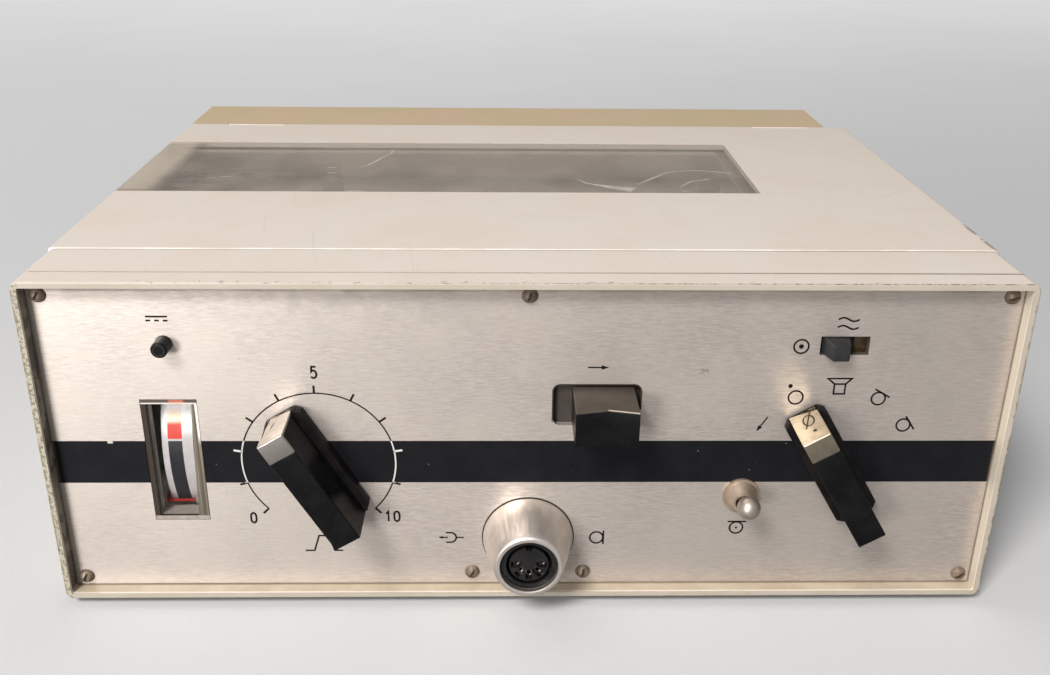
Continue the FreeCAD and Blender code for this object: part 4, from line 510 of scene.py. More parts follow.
def upright_streaks(f, pitch):
    """Up-and-down lines of the brushing pattern, as far apart as the pitch; on the meter they are painted
    reflections.
    """
    upright = put(f.tree, "ShaderNodeCombineXYZ", {0: f.z, 1: f.y, 2: f.x}).outputs[0]
    return f.mask("hairline", Vector=upright, Length=50.0, Pitch=pitch)


def meter_plastic():
    """Meter housing: black on its left, and painted light on its right and below the scale: pale, with
    painted reflections running up and down.
    """
    f = moulded("meter_housing_plastic", (0.016, 0.014, 0.015), (0.04, 0.035, 0.03), 0.3)
    # Painted light: the right-hand side and the part below the scale are painted pale, as lit through the
    # lens, with painted reflections running up them.
    pale = f.either(f.above(f.x, METER_X + 2.0, METER_X + 3.0), f.below(f.z, 31.0, 35.0))
    f.layer(pale, (0.95, 0.86, 0.80), 0.4)
    return f.layer((pale, upright_streaks(f, 0.9), 0.6), (0.62, 0.53, 0.45))


def red_pointer():
    """Red pointer with a dark coil on its pivot."""
    f = moulded("pointer_red", (0.36, 0.025, 0.018), (0.28, 0.018, 0.012), 0.4)
    return f.layer(f.above(f.y, 16.0, 22.0), (0.10, 0.07, 0.045), 0.5)


def tinted_window():
    """Smoke-tinted acrylic sheet, dusty and scratched, paler where it is bent at its left end."""
    f = Finish("tinted_window", (0.53, 0.465, 0.405), 0.14, IOR=1.49)
    dust = f.patches(24.0)
    f.layer((dust, 0.6), (0.60, 0.53, 0.455), 0.22)
    bend = f.times(f.band(f.x, -160.0, -127.5, 3.0), f.band(f.z, 80.0, 110.0, 3.0))
    f.layer((bend, 0.85), (0.64, 0.545, 0.44), 0.3)
    smear = f.times(f.band(f.x, -129.0, -96.0, 7.0), f.band(f.y, 84.0, 118.0, 9.0), f.patches(11.0))
    f.layer((smear, 0.85), (0.17, 0.15, 0.13), 0.3)
    front = f.times(f.band(f.y, 88.0, 90.6, 0.9), f.band(f.x, -150.0, -104.0, 12.0))
    f.layer((front, 0.6), (0.16, 0.125, 0.09))
    back = f.band(f.y, 155.8, 160.0, 0.5)
    f.layer((back, 0.5), (0.58, 0.50, 0.43))
    hair = f.scratches(30.0, 0.5, FLAT_TURNS[:1])
    f.layer((hair, 0.4), (0.66, 0.60, 0.53), 0.4)
    f.alpha = f.plus(0.28, f.times(dust, 0.09))
    for mask, share in ((bend, 0.45), (smear, 0.4), (front, 0.4), (back, 0.2), (hair, 0.1)):
        f.alpha = sums(f.tree, "ADD", f.alpha, f.times(mask, share), clamp=True)
    return f.relief(f.patches(12.0), 0.05)


def clear_lens():
    """Clear moulded cap of the meter, with painted light: dark refracting walls that show through its front
    with pale painted reflections up them, a painted glint at the top right, a painted shadow along the top
    with a painted reflection of the red print and a painted glint below it, and milky below.

    The inner edge of the right-hand wall leans: x less a share of z is the same all along it.
    """
    lean, half_height = 0.04, 18.6
    f = Finish("clear_lens", (0.05, 0.047, 0.043), 0.05, IOR=1.49)
    f.layer(f.scratches(9.0, 0.3), (0.6, 0.58, 0.55), 0.3)
    streak_reflections = upright_streaks(f, 0.7)
    left = f.below(f.x, METER_X - 6.78, METER_X - 6.6)
    leaning = sums(f.tree, "SUBTRACT", f.x, f.times(f.z, lean))
    right = f.above(leaning, METER_X + 3.65, METER_X + 3.85)
    low = f.below(f.z, METER_Z - half_height - 0.18, METER_Z - half_height)
    top = f.above(f.z, METER_Z + half_height, METER_Z + half_height + 0.1)
    face = f.below(f.y, PANEL_FRONT + 0.1, PANEL_FRONT + 0.5)
    # Left wall: painted dark refraction, a band of pale painted reflections, and a darker painted edge at the
    # face.
    f.layer(left, (0.11, 0.09, 0.068), 0.25)
    f.layer((left, f.band(f.y, 7.6, 10.6, 0.5), f.plus(0.4, f.times(streak_reflections, 0.6))), (1.0, 0.94, 0.86))
    f.layer((left, face, 0.95), (0.045, 0.034, 0.025))
    # Right wall: painted dark refraction with painted reflections.
    f.layer(right, (0.10, 0.083, 0.062), 0.25)
    f.layer((right, streak_reflections, 0.8), (0.30, 0.26, 0.20))
    # Painted glint at the top right.
    f.layer((f.above(f.x, METER_X + 7.2, METER_X + 7.5), f.above(f.z, 50.0, 54.0)), (0.92, 0.88, 0.84))
    # Milky lower wall with darker painted reflections.
    f.layer(low, (0.40, 0.35, 0.31), 0.3)
    f.layer((low, streak_reflections, 0.4), (0.24, 0.20, 0.17))
    # Top: a painted shadow, and a painted reflection of the red print over the middle strip.
    f.layer(top, (0.11, 0.085, 0.07), 0.3)
    red_reflection = f.band(f.x, METER_X + 0.1, METER_X + 4.3, 0.3)
    f.layer((top, red_reflection), (0.52, 0.17, 0.11))
    # Painted glint below the top's painted shadow, reddened by the painted reflection of the print.
    glint = f.times(top, f.below(f.z, METER_Z + half_height + 0.4, METER_Z + half_height + 0.55))
    f.layer((glint, 0.9), (0.86, 0.78, 0.74))
    f.layer((glint, red_reflection, 0.7), (0.86, 0.42, 0.30))
    f.alpha = f.plus(f.times(f.patches(5.0), 0.03), 0.04)
    f.alpha = f.plus(f.alpha, f.times(f.either(left, right, low, top), 0.8))
    return f.relief(f.patches(7.0), 0.02)


def pale_scratch_and_glare():
    """White frayed acrylic in the deep scratches of the window; the same pale also makes painted glints and a
    painted glare on it.
    """
    f = Finish("pale_scratch_and_glare", (0.82, 0.77, 0.70), 0.5)
    f.layer((f.grain(0.8), 0.4), (0.60, 0.55, 0.48))
    f.alpha = f.plus(0.45, f.times(f.patches(3.5), 0.5))
    return f.relief(f.grain(0.4), 0.01)


def engraving_and_shade():
    """Dirt-filled engraved line and deep scratch in bare metal; the same dark also paints the shadow line
    beside the transport slot.
    """
    f = Finish("dirt_in_engraving", (0.035, 0.026, 0.017), 0.6, Specular_IOR_Level=0.1)
    f.layer((f.patches(1.2), 0.4), (0.10, 0.078, 0.05))
    return f.relief(f.grain(0.3), 0.01)


def knob_plastic():
    """Black of the bar knobs, browned where the chamfered skirt is rubbed."""
    f = moulded("knob_black", BLACK, (0.016, 0.015, 0.015), 0.26)
    skirt = f.band(f.y, 0.8, 3.4, 0.7)
    f.layer(skirt, (0.007, 0.006, 0.006), 0.55)
    return f.layer((skirt, f.patches(5.0), 0.5), (0.026, 0.018, 0.016))


def transport_plastic():
    """Black of the transport button, with a painted sheen that lightens its top and a painted highlight along
    the right half of its front edge.
    """
    f = moulded("transport_black", BLACK, (0.016, 0.015, 0.015), 0.30)
    # Painted sheen: the top is painted lighter.
    top = f.band(f.z, TRANSPORT_TOP - 0.45, TRANSPORT_TOP + 1.0, 0.2)
    f.layer(top, (0.066, 0.054, 0.044), 0.3)
    f.layer((top, f.patches(4.0), 0.5), (0.085, 0.070, 0.057), 0.36)
    # Painted highlight along the right half of the front edge.
    slanting = f.plus(f.y, f.times(f.x, TRANSPORT_SLANT))
    edge = f.times(f.band(slanting, -4.1, -3.55, 0.06), f.above(f.x, 21.4, 22.0),
                   f.above(f.z, TRANSPORT_TOP - 0.3, TRANSPORT_TOP - 0.2))
    return f.layer((edge, 0.8), (0.50, 0.42, 0.34), 0.3)


def panel_screw():
    """Domed steel screw, brown with age, with dirt in its slot and round its edge."""
    f = metal("brown_steel_screw", (0.30, 0.235, 0.175), (0.13, 0.095, 0.07), 0.52, share=0.8, patch=2.2)
    away = [put(f.tree, "ShaderNodeVectorMath", {0: f.where, 1: (x, SCREW_BALL_Y, z)},
                operation="DISTANCE").outputs[1] for x, z in SCREWS]
    depth = reduce(partial(sums, f.tree, "MINIMUM"), away)
    sunk = f.below(depth, SCREW_BALL_RADIUS - 0.15, SCREW_BALL_RADIUS - 0.05)
    f.layer((sunk, 0.9), (0.035, 0.025, 0.016), 0.7)
    return f.metallic(f.times(f.without(f.times(sunk, 0.9)), 0.6))


def socket_boss():
    """Satin metal of the socket's boss, painted black inside its bore as shade."""
    f = metal("satin_boss", (0.84, 0.77, 0.71), (0.62, 0.54, 0.475), 0.38, grain=0.25, share=0.5, patch=5.0)
    # Painted shade: the inside of the bore is painted black.
    bore = f.times(f.spot(SOCKET, 8.72, 0.04), f.above(f.y, -10.9, -10.6))
    f.layer((bore, 0.95), (0.022, 0.014, 0.008), 0.5)
    return f.metallic(f.times(f.without(bore), 0.9))


def laminate():
    """Resin board: woven ground with copper tracks under green lacquer."""
    f = Finish("laminate", (0.17, 0.12, 0.045), 0.4)
    weave = f.mask("grain", Vector=stretched(f.tree, f.where, 3.0, 1.0), Size=0.35)
    f.layer((weave, 0.5), (0.24, 0.18, 0.08))
    f.layer((f.flakes(7.0, 0.5), 0.85), (0.08, 0.13, 0.05), 0.3)
    return f.relief(weave, 0.01)


def mixed_parts():
    """Small parts on the boards: the colour of each cell of the board is its own."""
    f = Finish("mixed_parts", (0.35, 0.3, 0.2), 0.42)
    cell = put(f.tree, "ShaderNodeTexVoronoi", {"Vector": f.where, "Scale": 0.06}).outputs[1]
    pick = parted(f.tree, cell)[0]
    f.layer(f.band(pick, 0.0, 0.3, 0.01), (0.45, 0.2, 0.05))
    f.layer(f.band(pick, 0.3, 0.55, 0.01), (0.08, 0.12, 0.28))
    f.layer(f.band(pick, 0.55, 0.75, 0.01), (0.5, 0.49, 0.47), 0.3)
    f.layer((f.patches(3.0), 0.3), (0.2, 0.17, 0.12), 0.6)
    return f.relief(f.grain(0.4), 0.01)


def cell_jacket():
    """Dry cell jacket: a plain coloured sleeve, rubbed."""
    f = metal("cell_jacket", (0.30, 0.05, 0.03), (0.2, 0.035, 0.02), 0.35, weight=0.2)
    return f.layer((f.patches(20.0), 0.4), (0.5, 0.4, 0.12))


FINISHES = {make.__name__: make() for make in (
    cream_lid, cream_case, cream_bezel, brushed_panel, printing_ink_and_shadow, scale_printing, meter_plastic,
    red_pointer, tinted_window, clear_lens, pale_scratch_and_glare, engraving_and_shade, knob_plastic, transport_plastic,
    panel_screw, socket_boss, laminate, mixed_parts, cell_jacket)}
FINISHES.update({
    "steel": metal("zinc_steel", (0.42, 0.40, 0.37), (0.27, 0.25, 0.22), 0.36),
    "bright": metal("bright_steel", (0.66, 0.64, 0.61), (0.5, 0.47, 0.43), 0.2, share=0.3),
    "bush": metal("golden_nickel_bush", (0.55, 0.45, 0.355), (0.36, 0.27, 0.20), 0.5, share=0.6, weight=0.8,
                  patch=3.0),
    "ball": metal("toggle_nickel", (0.52, 0.455, 0.40), (0.36, 0.30, 0.25), 0.42, share=0.6, weight=0.85,
                  patch=2.4),
    "level_cap": metal("level_cap_aluminium", (0.54, 0.505, 0.455), (0.40, 0.365, 0.315), 0.38, grain=0.2,
                       share=0.4, patch=3.0),
    "selector_cap": metal("selector_cap_gilt", (0.55, 0.485, 0.37), (0.35, 0.29, 0.20), 0.34, grain=0.2,
                          share=0.55, patch=3.0),
    "aluminium": metal("bare_aluminium", (0.62, 0.60, 0.57), (0.48, 0.46, 0.43), 0.36, patch=20.0),
    "cast": metal("cast_metal", (0.40, 0.39, 0.37), (0.28, 0.27, 0.25), 0.5, grain=0.8),
    "brass": metal("brass", (0.60, 0.44, 0.19), (0.38, 0.26, 0.1), 0.3),
    "bronze": metal("switch_frame_bronze", (0.34, 0.25, 0.16), (0.16, 0.11, 0.07), 0.4, share=0.7),
    # Spindles painted dark as shade, standing in for the dark they show through the window.
    "spindle": metal("spindle_painted_dark", (0.10, 0.084, 0.070), (0.045, 0.036, 0.030), 0.5, share=0.6,
                     weight=0.3),
    "insert": moulded("socket_insert_plastic", (0.0065, 0.006, 0.006), (0.03, 0.027, 0.025), 0.24,
                      shine=0.5),
    "black": moulded("black_plastic", BLACK, (0.018, 0.017, 0.016), 0.3),
    "grey": moulded("switch_grey_plastic", (0.020, 0.0205, 0.022), (0.05, 0.05, 0.052), 0.34),
    "dark": moulded("dark_plastic", (0.05, 0.045, 0.04), (0.10, 0.09, 0.08), 0.45),
    "slide": moulded("transport_slide_plastic", (0.050, 0.042, 0.036), (0.085, 0.072, 0.061), 0.42),
    "rubber": moulded("rubber", (0.03, 0.029, 0.028), (0.06, 0.055, 0.05), 0.7, relief=0.02),
    "olive": painted("olive_enamel_box", OLIVE, OLIVE_SHADE, patch=38.0),
    "deck": painted("deck_enamel", (0.44, 0.40, 0.36), (0.37, 0.335, 0.29), 0.5),
})
MATERIALS = {key: finish.done() for key, finish in FINISHES.items()}

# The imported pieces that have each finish
PIECES = {
    "cream_bezel": "front_bezel",
    "brushed_panel": "front_panel",
    "panel_screw": "panel_screws",
    "cream_case": "case_shell bottom_plate lid_hinges",
    "steel": "case_screws level_control transport_guide lever_studs flywheel_bridge drive_motor pinch_arm "
             "supply_brake take_up_brake",
    "rubber": "rubber_feet drive_belts pinch_roller",
    "cream_lid": "lid_shell",
    "tinted_window": "lid_window",
    "clear_lens": "meter_lens",
    "scale_printing": "meter_scale",
    "meter_plastic": "meter_housing",
    "red_pointer": "meter_needle",
    "bright": "level_shaft selector_shaft connector_contacts tape_heads tape_guides",
    "knob_plastic": "level_knob selector_knob",
    "level_cap": "level_knob_cap",
    "laminate": "selector_switch circuit_boards",
    "selector_cap": "selector_knob_cap",
    "black": "test_button",
    "transport_plastic": "transport_button",
    "slide": "transport_slide",
    "bronze": "switch_bodies",
    "grey": "slide_switch_knob",
    "bush": "toggle_bush",
    "ball": "toggle_lever",
    "socket_boss": "connector_boss",
    "insert": "connector_insert",
    "deck": "deck_plate",
    "aluminium": "deck_pillars head_bracket supply_turntable take_up_turntable",
    "brass": "spindle_bearings motor_pulley battery_contacts",
    "spindle": "supply_spindle take_up_spindle",
    "cast": "capstan_flywheel",
    "mixed_parts": "board_components",
    "dark": "loudspeaker",
    "olive": "battery_case battery_door",
    "cell_jacket": "battery_cells",
}

for finish, nodes in PIECES.items():
    for node in nodes.split():
        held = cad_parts[node].data.materials
        held.clear()
        held.append(MATERIALS[finish])


def placed(points):
    """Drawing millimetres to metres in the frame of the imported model."""
    return (np.asarray(points, float) + PLACE) * MM


def unit(vectors):
    """Each vector divided by its length."""
    return vectors / np.maximum(np.linalg.norm(vectors, axis=-1, keepdims=True), 1e-9)


def skin(rings, closed=False):
    """Closed surface through rings of points: quads between neighbours, a face at each end unless closed.

    Its faces are turned outwards when the volume summed over them comes out negative.
    """
    n, m = rings.shape[:2]
    points = rings.reshape(-1, 3)
    along = np.arange(n if closed else n - 1)[:, None]
    around = np.arange(m)[None, :]
    step, turn = (along + 1) % n, (around + 1) % m
    quads = np.stack([along * m + around, along * m + turn, step * m + turn, step * m + around], -1)
    faces = quads.reshape(-1, 4).tolist()
    if not closed:
        faces += [list(range(m))[::-1], list(range((n - 1) * m, n * m))]
    volume = sum(points[face[0]] @ np.cross(points[second], points[third])
                 for face in faces for second, third in zip(face[1:-1], face[2:]))
    return points, [face[::-1] for face in faces] if volume < 0 else faces


def on_face(front):
    """Places on the upright face at this y: u to the right, v up, out towards the viewer."""
    def lies(u, v, out):
        return np.stack([u, front - out, v], -1)
    return lies


on_panel, on_button = on_face(PANEL_FRONT), on_face(TEST_BUTTON_FRONT)


def in_window(u, v, out):
    """Place in the window: u to the right, v back, out upwards from just under its top."""
    return np.stack([u, v, LID_TOP - 0.06 + out], -1)


def on_cap(middle, angle):
    """Places on the end face of a bar knob turned by the angle: u across the face, v back along y."""
    way, side = np.array((math.sin(angle), math.cos(angle))), np.array((math.cos(angle), -math.sin(angle)))

    def lies(u, v, out):
        flat = middle + np.multiply.outer(KNOB_REACH + out, way) + np.multiply.outer(u, side)
        return np.stack([flat[:, 0], v, flat[:, 1]], -1)
    return lies


def stroke(path, width=SYMBOL_LINE, closed=False, lies=on_panel, thickness=PRINT_THICKNESS):
    """A printed line: each point of the path gives two edges, half a width away along its mitre.

    The mitre is the sum of the normals of the two runs that meet there, lengthened so that the
    line keeps its width; the section is a thin rectangle that starts just under the surface.
    """
    path = np.asarray(path, float)
    if closed:
        before, after = np.roll(path, 1, 0), np.roll(path, -1, 0)
    else:
        before = np.vstack([2 * path[0] - path[1], path[:-1]])
        after = np.vstack([path[1:], 2 * path[-1] - path[-2]])
    runs = unit(path - before), unit(after - path)
    sides = [np.stack([-run[:, 1], run[:, 0]], 1) for run in runs]
    mitre = unit(sides[0] + sides[1])
    mitre = mitre / np.maximum((mitre * sides[0]).sum(1, keepdims=True), 0.4)
    mitre = mitre * np.reshape(width, (-1, 1)) / 2
    left, right = path + mitre, path - mitre
    low, high = np.full(len(path), -PRINT_SUNK), np.full(len(path), thickness)
    corners = ((left, high), (right, high), (right, low), (left, low))
    rings = np.stack([lies(*edge.T, out) for edge, out in corners], 1)
    return skin(rings, closed)


def blot(outline, lies=on_panel, thickness=PRINT_THICKNESS):
    """A printed filled shape: its outline just under the surface and again in front of it."""
    u, v = np.asarray(outline, float).T
    return skin(np.stack([lies(u, v, np.full(len(u), out)) for out in (-PRINT_SUNK, thickness)]))


def arc(centre, radius, start, stop, count, tall=None):
    """Points on a circle or upright oval from one angle in degrees to another."""
    angle = np.radians(np.linspace(start, stop, count))
    return np.stack([centre[0] + radius * np.cos(angle), centre[1] + (tall or radius) * np.sin(angle)], 1)


def ring(centre, radius, count=32, tall=None):
    """Points round a whole circle or upright oval, the last one left out."""
    return arc(centre, radius, 0, 360, count + 1, tall)[:-1]


def dot(centre, radius, lies=on_panel):
    """A filled circle."""
    return blot(ring(centre, radius, 20), lies)


def arrow(tail, tip, head=2.1, half=0.7):
    """A line that ends in a filled triangle."""
    tail, tip = np.array(tail, float), np.array(tip, float)
    way = unit(tip - tail)
    side = np.array((-way[1], way[0]))
    neck = tip - way * head
    return [stroke([tail, neck + way * 0.3], FINE_LINE), blot([tip, neck + side * half, neck - side * half])]


def shown(name, data):
    """An object of the scene that shows this mesh, light or camera."""
    thing = bpy.data.objects.new(name, data)
    bpy.context.scene.collection.objects.link(thing)
    return thing


def piece(name, parts, finish, body):
    """One object from closed parts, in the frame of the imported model, riding on its body."""
    sizes = np.cumsum([0] + [len(points) for points, _ in parts])
    points = placed(np.vstack([points for points, _ in parts]))
    faces = [[index + start for index in face] for (_, held), start in zip(parts, sizes) for face in held]
    mesh = bpy.data.meshes.new(name)
    mesh.from_pydata(points.tolist(), [], faces)
    mesh.materials.append(MATERIALS[finish])
    thing = shown(name, mesh)
    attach(thing, body)


def rounded(node, radius, body):
    """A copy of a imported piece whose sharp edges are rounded, which stands in for it.

    Its triangles are merged and the flat ones joined, so that only edges sharper than 30 degrees
    are left to round.
    """
    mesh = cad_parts[node].data.copy()
    joined = bmesh.new()
    joined.from_mesh(mesh)
    bmesh.ops.remove_doubles(joined, verts=joined.verts, dist=1e-6)
    bmesh.ops.dissolve_limit(joined, angle_limit=math.radians(0.5), verts=joined.verts, edges=joined.edges)
    joined.to_mesh(mesh)
    joined.free()
    mesh.shade_smooth()
    thing = shown("rounded_" + node, mesh)
    edges = thing.modifiers.new("rounding", "BEVEL")
    edges.width = radius * MM
    edges.segments = 3
    edges.limit_method = "ANGLE"
    edges.angle_limit = math.radians(30)
    edges.harden_normals = True
    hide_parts(node)
    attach(thing, body)


def digit(kind, centre):
    """One plain numeral: 0 is an oval with straight sides, 1 a stem with a flag, 5 a bowl under a bar."""
    wide, high = 1.575, 3.5
    shapes = {
        "0": [(0.5, 1.0), (0.14, 0.9), (0.0, 0.68), (0.0, 0.32), (0.14, 0.1), (0.5, 0.0),
              (0.86, 0.1), (1.0, 0.32), (1.0, 0.68), (0.86, 0.9)],
        "1": [(0.1, 0.72), (0.55, 1.0), (0.55, 0.0)],
        "5": [(0.95, 1.0), (0.16, 1.0), (0.1, 0.56), (0.34, 0.66), (0.68, 0.64), (0.92, 0.5), (1.0, 0.32),
              (0.9, 0.12), (0.62, 0.0), (0.26, 0.0), (0.0, 0.12)],
    }
    path = (np.array(shapes[kind]) - 0.5) * (wide, high) + centre
    return stroke(path, DIGIT_LINE, closed=kind == "0")


def level_dial():
    """Circle of 270 degrees round the level knob with eleven radial ticks, and the sign under it."""
    start, stop, radius, reach = 225, -45, 22.5, 24.9
    parts = [stroke(arc(LEVEL, radius, start, stop, 109), FINE_LINE)]
    for angle in np.radians(np.linspace(start, stop, 11)):
        way = np.array((math.cos(angle), math.sin(angle)))
        parts.append(stroke([LEVEL + radius * way, LEVEL + reach * way], TICK_LINE))
    sign = [(-67.4, 13.9), (-64.6, 13.9), (-63.0, 19.2), (-60.1, 19.2), (-58.5, 13.9), (-56.0, 13.9)]
    return parts + [stroke(sign)]


def level_numbers():
    """The numbers 0, 5 and 10 round the dial."""
    return [digit("0", (-82.1, 25.6)), digit("5", (-61.1, 73.9)), digit("1", (-41.8, 26.0)),
            digit("0", (-39.2, 26.0))]


def loop_sign(centre, bar):
    """Tape loop sign: a circle of 2 mm radius with a straight bar that touches it."""
    return [stroke(ring(centre, 2.0), closed=True), stroke(bar)]


def wave(centre):
    """One period of a sine along x."""
    length, rise = 6.0, 0.55
    u = np.linspace(-0.5, 0.5, 25)
    return stroke(np.stack([centre[0] + u * length, centre[1] - rise * np.sin(2 * math.pi * u)], 1))


def panel_signs():
    """All other signs: supply lines, arrow, waves, circles, loudspeaker, tape loops and plug."""
    parts = [stroke([(-106.4, 90.9), (-100.3, 90.9)])]
    parts += [stroke([(x - 0.65, 89.7), (x + 0.65, 89.7)]) for x in (-105.75, -103.35, -100.95)]
    parts += arrow((16.8, 75.5), (22.8, 75.5))
    parts += [wave((89.7, 90.4)), wave((89.7, 88.0))]
    parts += [stroke(ring((77.1, 82.1), 2.1), closed=True), dot((77.1, 82.1), 0.7)]
    parts += arrow((69.73, 59.64), (66.73, 54.82))
    parts += [stroke(ring((77.2, 66.0), 2.1), closed=True), dot((75.32, 69.66), 0.65)]
    horn = [(85.94, 72.06), (92.90, 72.06), (91.2, 70.3), (91.2, 67.15), (88.0, 67.15), (88.0, 70.3)]
    parts += [stroke(horn, closed=True), stroke([(88.0, 70.3), (91.2, 70.3)])]
    parts += loop_sign((101.30, 65.64), [(100.05, 68.68), (104.55, 66.02)])
    parts += loop_sign((109.81, 56.99), [(110.28, 59.87), (113.16, 55.58)])
    parts += loop_sign((63.7, 21.75), [(60.95, 23.9), (66.6, 23.9)]) + [dot((63.7, 21.75), 0.35)]
    parts += loop_sign((21.2, 18.3), [(23.3, 20.7), (23.3, 15.9)])
    parts += arrow((-24.0, 18.44), (-26.9, 18.44), 1.3, 0.5)
    hook = np.vstack([[(-24.6, 20.14)], arc((-23.2, 18.42), 1.72, 90, -90, 17), [(-24.6, 16.7)]])
    parts += [stroke(hook), stroke([(-21.5, 18.42), (-19.18, 18.42)], FINE_LINE)]
    return parts


def boss_seam_shadow():
    """Painted shadow in the gap round the upper part of the socket's boss, where it passes through the panel.
    """
    radius = 13.82
    return [stroke(arc(SOCKET, radius, -28, 208, 73), SHADOW_LINE)]


def slot_shadow_line():
    """Painted shadow beside the transport slot: a dark line up its left edge, along its top, down part of its
    right.
    """
    low_x, high_x, low_z, high_z = TRANSPORT_SLOT
    beside = 0.18
    round_by = SLOT_CORNER + beside
    path = np.vstack([[(low_x - beside, low_z + 1.0)],
                      arc((low_x + SLOT_CORNER, high_z - SLOT_CORNER), round_by, 180, 90, 9),
                      arc((high_x - SLOT_CORNER, high_z - SLOT_CORNER), round_by, 90, 0, 9),
                      [(high_x + beside, low_z + 5.0)]])
    return [stroke(path, SHADOW_LINE)]


def selector_mark():
    """Engraved slashed oval and dot on the selector's metal cap."""
    face = on_cap(SELECTOR, SELECTOR_REST)
    oval = ring((0.5, -1.9), 1.55, 32, 2.7)
    return [stroke(oval, 0.5, closed=True, lies=face, thickness=0.012),
            stroke([(1.9, 2.0), (-1.2, -5.6)], 0.5, lies=face, thickness=0.014), dot((0.8, -8.0), 0.6, face)]


def level_cap_scratches():
    """Deep scratches across the metal cap of the level knob."""
    face = on_cap(LEVEL, LEVEL_REST)
    return [stroke(path, width, lies=face, thickness=0.012) for path, width in (
        ([(-3.4, 3.2), (-3.7, 1.0), (-3.8, -3.0), (-3.6, -8.0)], (0.7, 1.0, 0.6, 0.2)),
        ([(-3.6, 3.4), (-0.1, 2.1), (2.1, 2.6)], (0.2, 0.45, 0.18)),
        ([(-1.0, -0.6), (-1.2, -3.0), (-1.4, -5.5)], (0.15, 0.36, 0.15)),
        ([(0.15, -1.3), (-0.9, -3.4)], (0.2, 0.1)))]


def window_scratches_and_glints():
    """Pale marks in the window: two scratch arcs, two painted glints above the left spindle, a painted glare
    wedge and painted glints at the right spindle's rim on the right, and two short scratches on the left.
    """
    return [stroke(path, width, lies=in_window, thickness=0.03) for path, width in (
        ([(-60.0, 121.5), (-57.5, 124.0), (-54.8, 130.9), (-52.8, 137.3), (-50.4, 142.2), (-50.3, 147.3)],
         (0.2, 0.7, 0.9, 0.6, 0.6, 0.9)),
        # Two painted glints above the left spindle.
        ([(-71.8, 120.4), (-68.7, 120.5)], 0.6),
        ([(-70.7, 113.1), (-67.7, 113.2)], 0.6),
        ([(40.3, 99.3), (44.0, 104.6), (48.0, 109.5), (52.7, 115.8), (61.1, 119.1), (68.8, 117.9),
          (77.0, 115.0)], (0.2, 0.8, 0.8, 0.3, 0.25, 0.5, 0.5)),
        # Painted glare wedge.
        ([(18.7, 107.0), (21.8, 101.3), (29.5, 95.7), (37.0, 90.2)], (0.2, 0.7, 1.1, 0.6)),
        # Painted glints at the right spindle's rim, this line and the next.
        ([(55.1, 96.7), (59.7, 103.7), (66.9, 106.9)], (0.4, 0.9, 0.2)),
        ([(54.4, 91.3), (57.6, 91.2)], 0.8),
        ([(-112.5, 105.7), (-109.0, 105.8)], 0.35),
        ([(-107.9, 107.2), (-103.6, 107.2)], 0.35))]


def window_glare_patch():
    """The thinner painted glare patch beside the wedge's bright line."""
    return [blot([(24.5, 99.9), (37.2, 90.7), (39.6, 94.8), (33.5, 96.6)], in_window, thickness=0.01)]


rounded("transport_button", 0.25, "transport")
rounded("level_knob", 0.2, "level_dial")
rounded("level_knob_cap", 0.2, "level_dial")
rounded("selector_knob", 0.2, "selector")
rounded("selector_knob_cap", 0.2, "selector")
rounded("slide_switch_knob", 0.4, "slide_switch")
rounded("connector_boss", 0.35, "case")

for name, parts, finish in (
        ("print_level_dial", level_dial(), "printing_ink_and_shadow"),
        ("print_level_numbers", level_numbers(), "printing_ink_and_shadow"),
        ("print_panel_signs", panel_signs(), "printing_ink_and_shadow"),
        ("boss_seam_shadow", boss_seam_shadow(), "printing_ink_and_shadow"),
        ("slot_shadow_line", slot_shadow_line(), "engraving_and_shade")):
    piece(name, parts, finish, "case")
piece("selector_cap_mark", selector_mark(), "engraving_and_shade", "selector")
piece("level_cap_scratches", level_cap_scratches(), "engraving_and_shade", "level_dial")
piece("test_button_ring", [stroke(ring(TEST_BUTTON, 1.55), 0.3, closed=True, lies=on_button, thickness=0.05)],
      "grey", "test_push")
piece("window_scratches_and_glints", window_scratches_and_glints(), "pale_scratch_and_glare", "lid")
piece("window_glare_patch", window_glare_patch(), "pale_scratch_and_glare", "lid")


def floor_finish():
    """Plain pale matt floor: the camera sees it lighter than the object does, and it glows far back."""
    f = Finish("studio_floor", (0.21, 0.21, 0.215), 0.9)
    seen = put(f.tree, "ShaderNodeLightPath").outputs["Is Camera Ray"]
    f.layer(seen, (0.58, 0.58, 0.585))
    far = f.times(seen, f.above(f.y, 0.0, 1900.0))
    f.layer(far, (0.80, 0.80, 0.805))
    glow = put(f.tree, "ShaderNodeMix", {0: far, 6: (0.0, 0.0, 0.0, 1.0), 7: (0.36, 0.36, 0.36, 1.0)},
               data_type="RGBA").outputs[2]
    feed(f.tree, f.shader.inputs, {"Emission Color": glow, "Emission Strength": 1.0})
    f.layer((seen, f.patches(400.0), 0.2), (0.56, 0.56, 0.57))
    return f.relief(f.grain(2.0), 0.02)


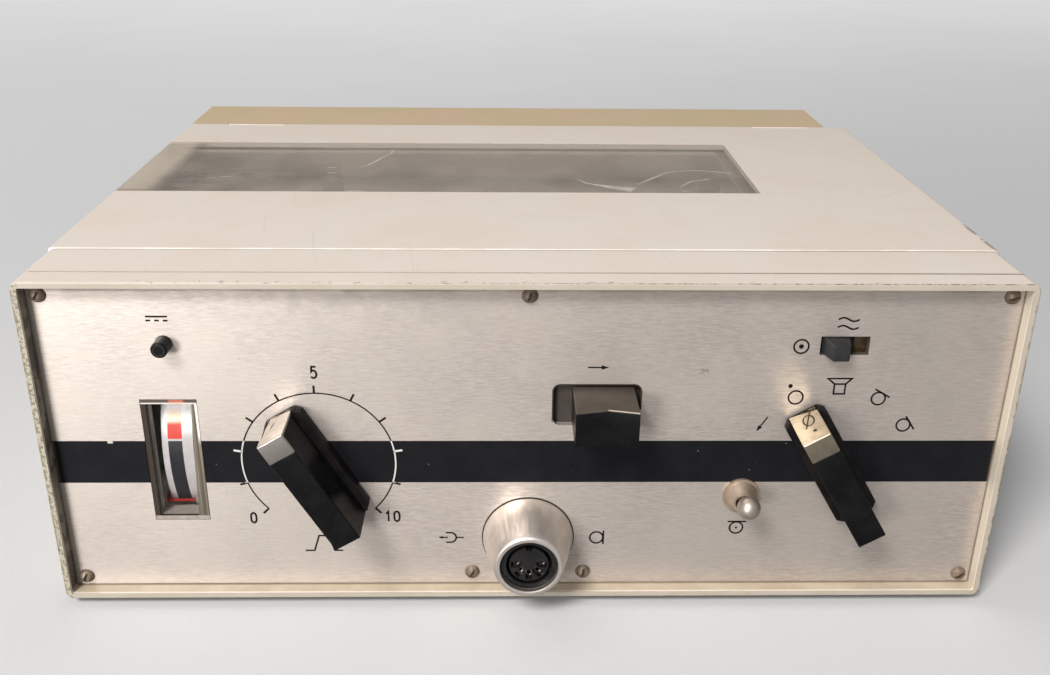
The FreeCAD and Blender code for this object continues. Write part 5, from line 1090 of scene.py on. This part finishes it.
def studio_floor():
    """A wide sheet that curves up behind the object: flat, then a quarter circle, then upright."""
    reach, back, radius = 4.0, 2.2, 1.2
    angle = np.radians(np.linspace(0, 90, 25))
    y = np.concatenate([[-reach], back + radius * np.sin(angle), [back + radius]])
    z = np.concatenate([[0.0], radius - radius * np.cos(angle), [4.0]])
    n = len(y)
    points = np.stack([np.repeat((-reach, reach), n), np.tile(y, 2), np.tile(z, 2)], -1)
    k = np.arange(n - 1)
    faces = np.stack([k, k + n, k + n + 1, k + 1], -1).tolist()
    mesh = bpy.data.meshes.new("studio_floor")
    mesh.from_pydata(points.tolist(), [], faces)
    mesh.shade_smooth()
    mesh.materials.append(floor_finish().done())
    thing = shown("studio_floor", mesh)


def lamp(name, place, size, power, colour):
    """A square soft lamp that points at the middle of the object, 50 mm up."""
    light = bpy.data.lights.new(name, "AREA")
    light.size, light.energy, light.color = size, power, colour
    x, y, z = np.array(place) - np.array((0.0, 0.0, 0.05))
    thing = shown(name, light)
    thing.location = place
    thing.rotation_euler = (math.atan2(math.hypot(x, y), z), 0.0, math.atan2(x, -y))


def studio_world():
    """Even pale surroundings."""
    world = bpy.data.worlds.new("studio_world")
    world.use_nodes = True
    tree = world.node_tree
    feed(tree, tree.nodes["Background"].inputs, {"Color": (0.98, 0.99, 1.0, 1.0), "Strength": 0.37})
    bpy.context.scene.world = world


def camera():
    """The photograph's place and angle: a camera turned by yaw, pitch and roll, in radians."""
    place = (-0.00818, -0.38871, 0.21098)
    yaw, pitch, roll = -0.0243643, 0.409852, 0.0111940
    data = bpy.data.cameras.new("camera")
    data.sensor_fit = "HORIZONTAL"
    data.sensor_width = 36.0
    data.lens = 37.926
    data.clip_start = 0.01
    thing = shown("camera", data)
    thing.matrix_world = Matrix.Translation(place)
    for angle, axis in ((yaw, "Z"), (math.pi / 2 - pitch, "X"), (roll, "Z")):
        thing.matrix_world @= Matrix.Rotation(angle, 4, axis)
    bpy.context.scene.camera = thing


studio_floor()
studio_world()
lamp("window_light", (-0.78, -1.4, 1.6), 0.6, 47.0, (1.0, 0.985, 0.965))
lamp("front_light", (-0.66, -1.3, 0.30), 0.35, 12.0, (1.0, 0.985, 0.97))
camera()
bpy.context.scene.view_settings.view_transform = "Standard"
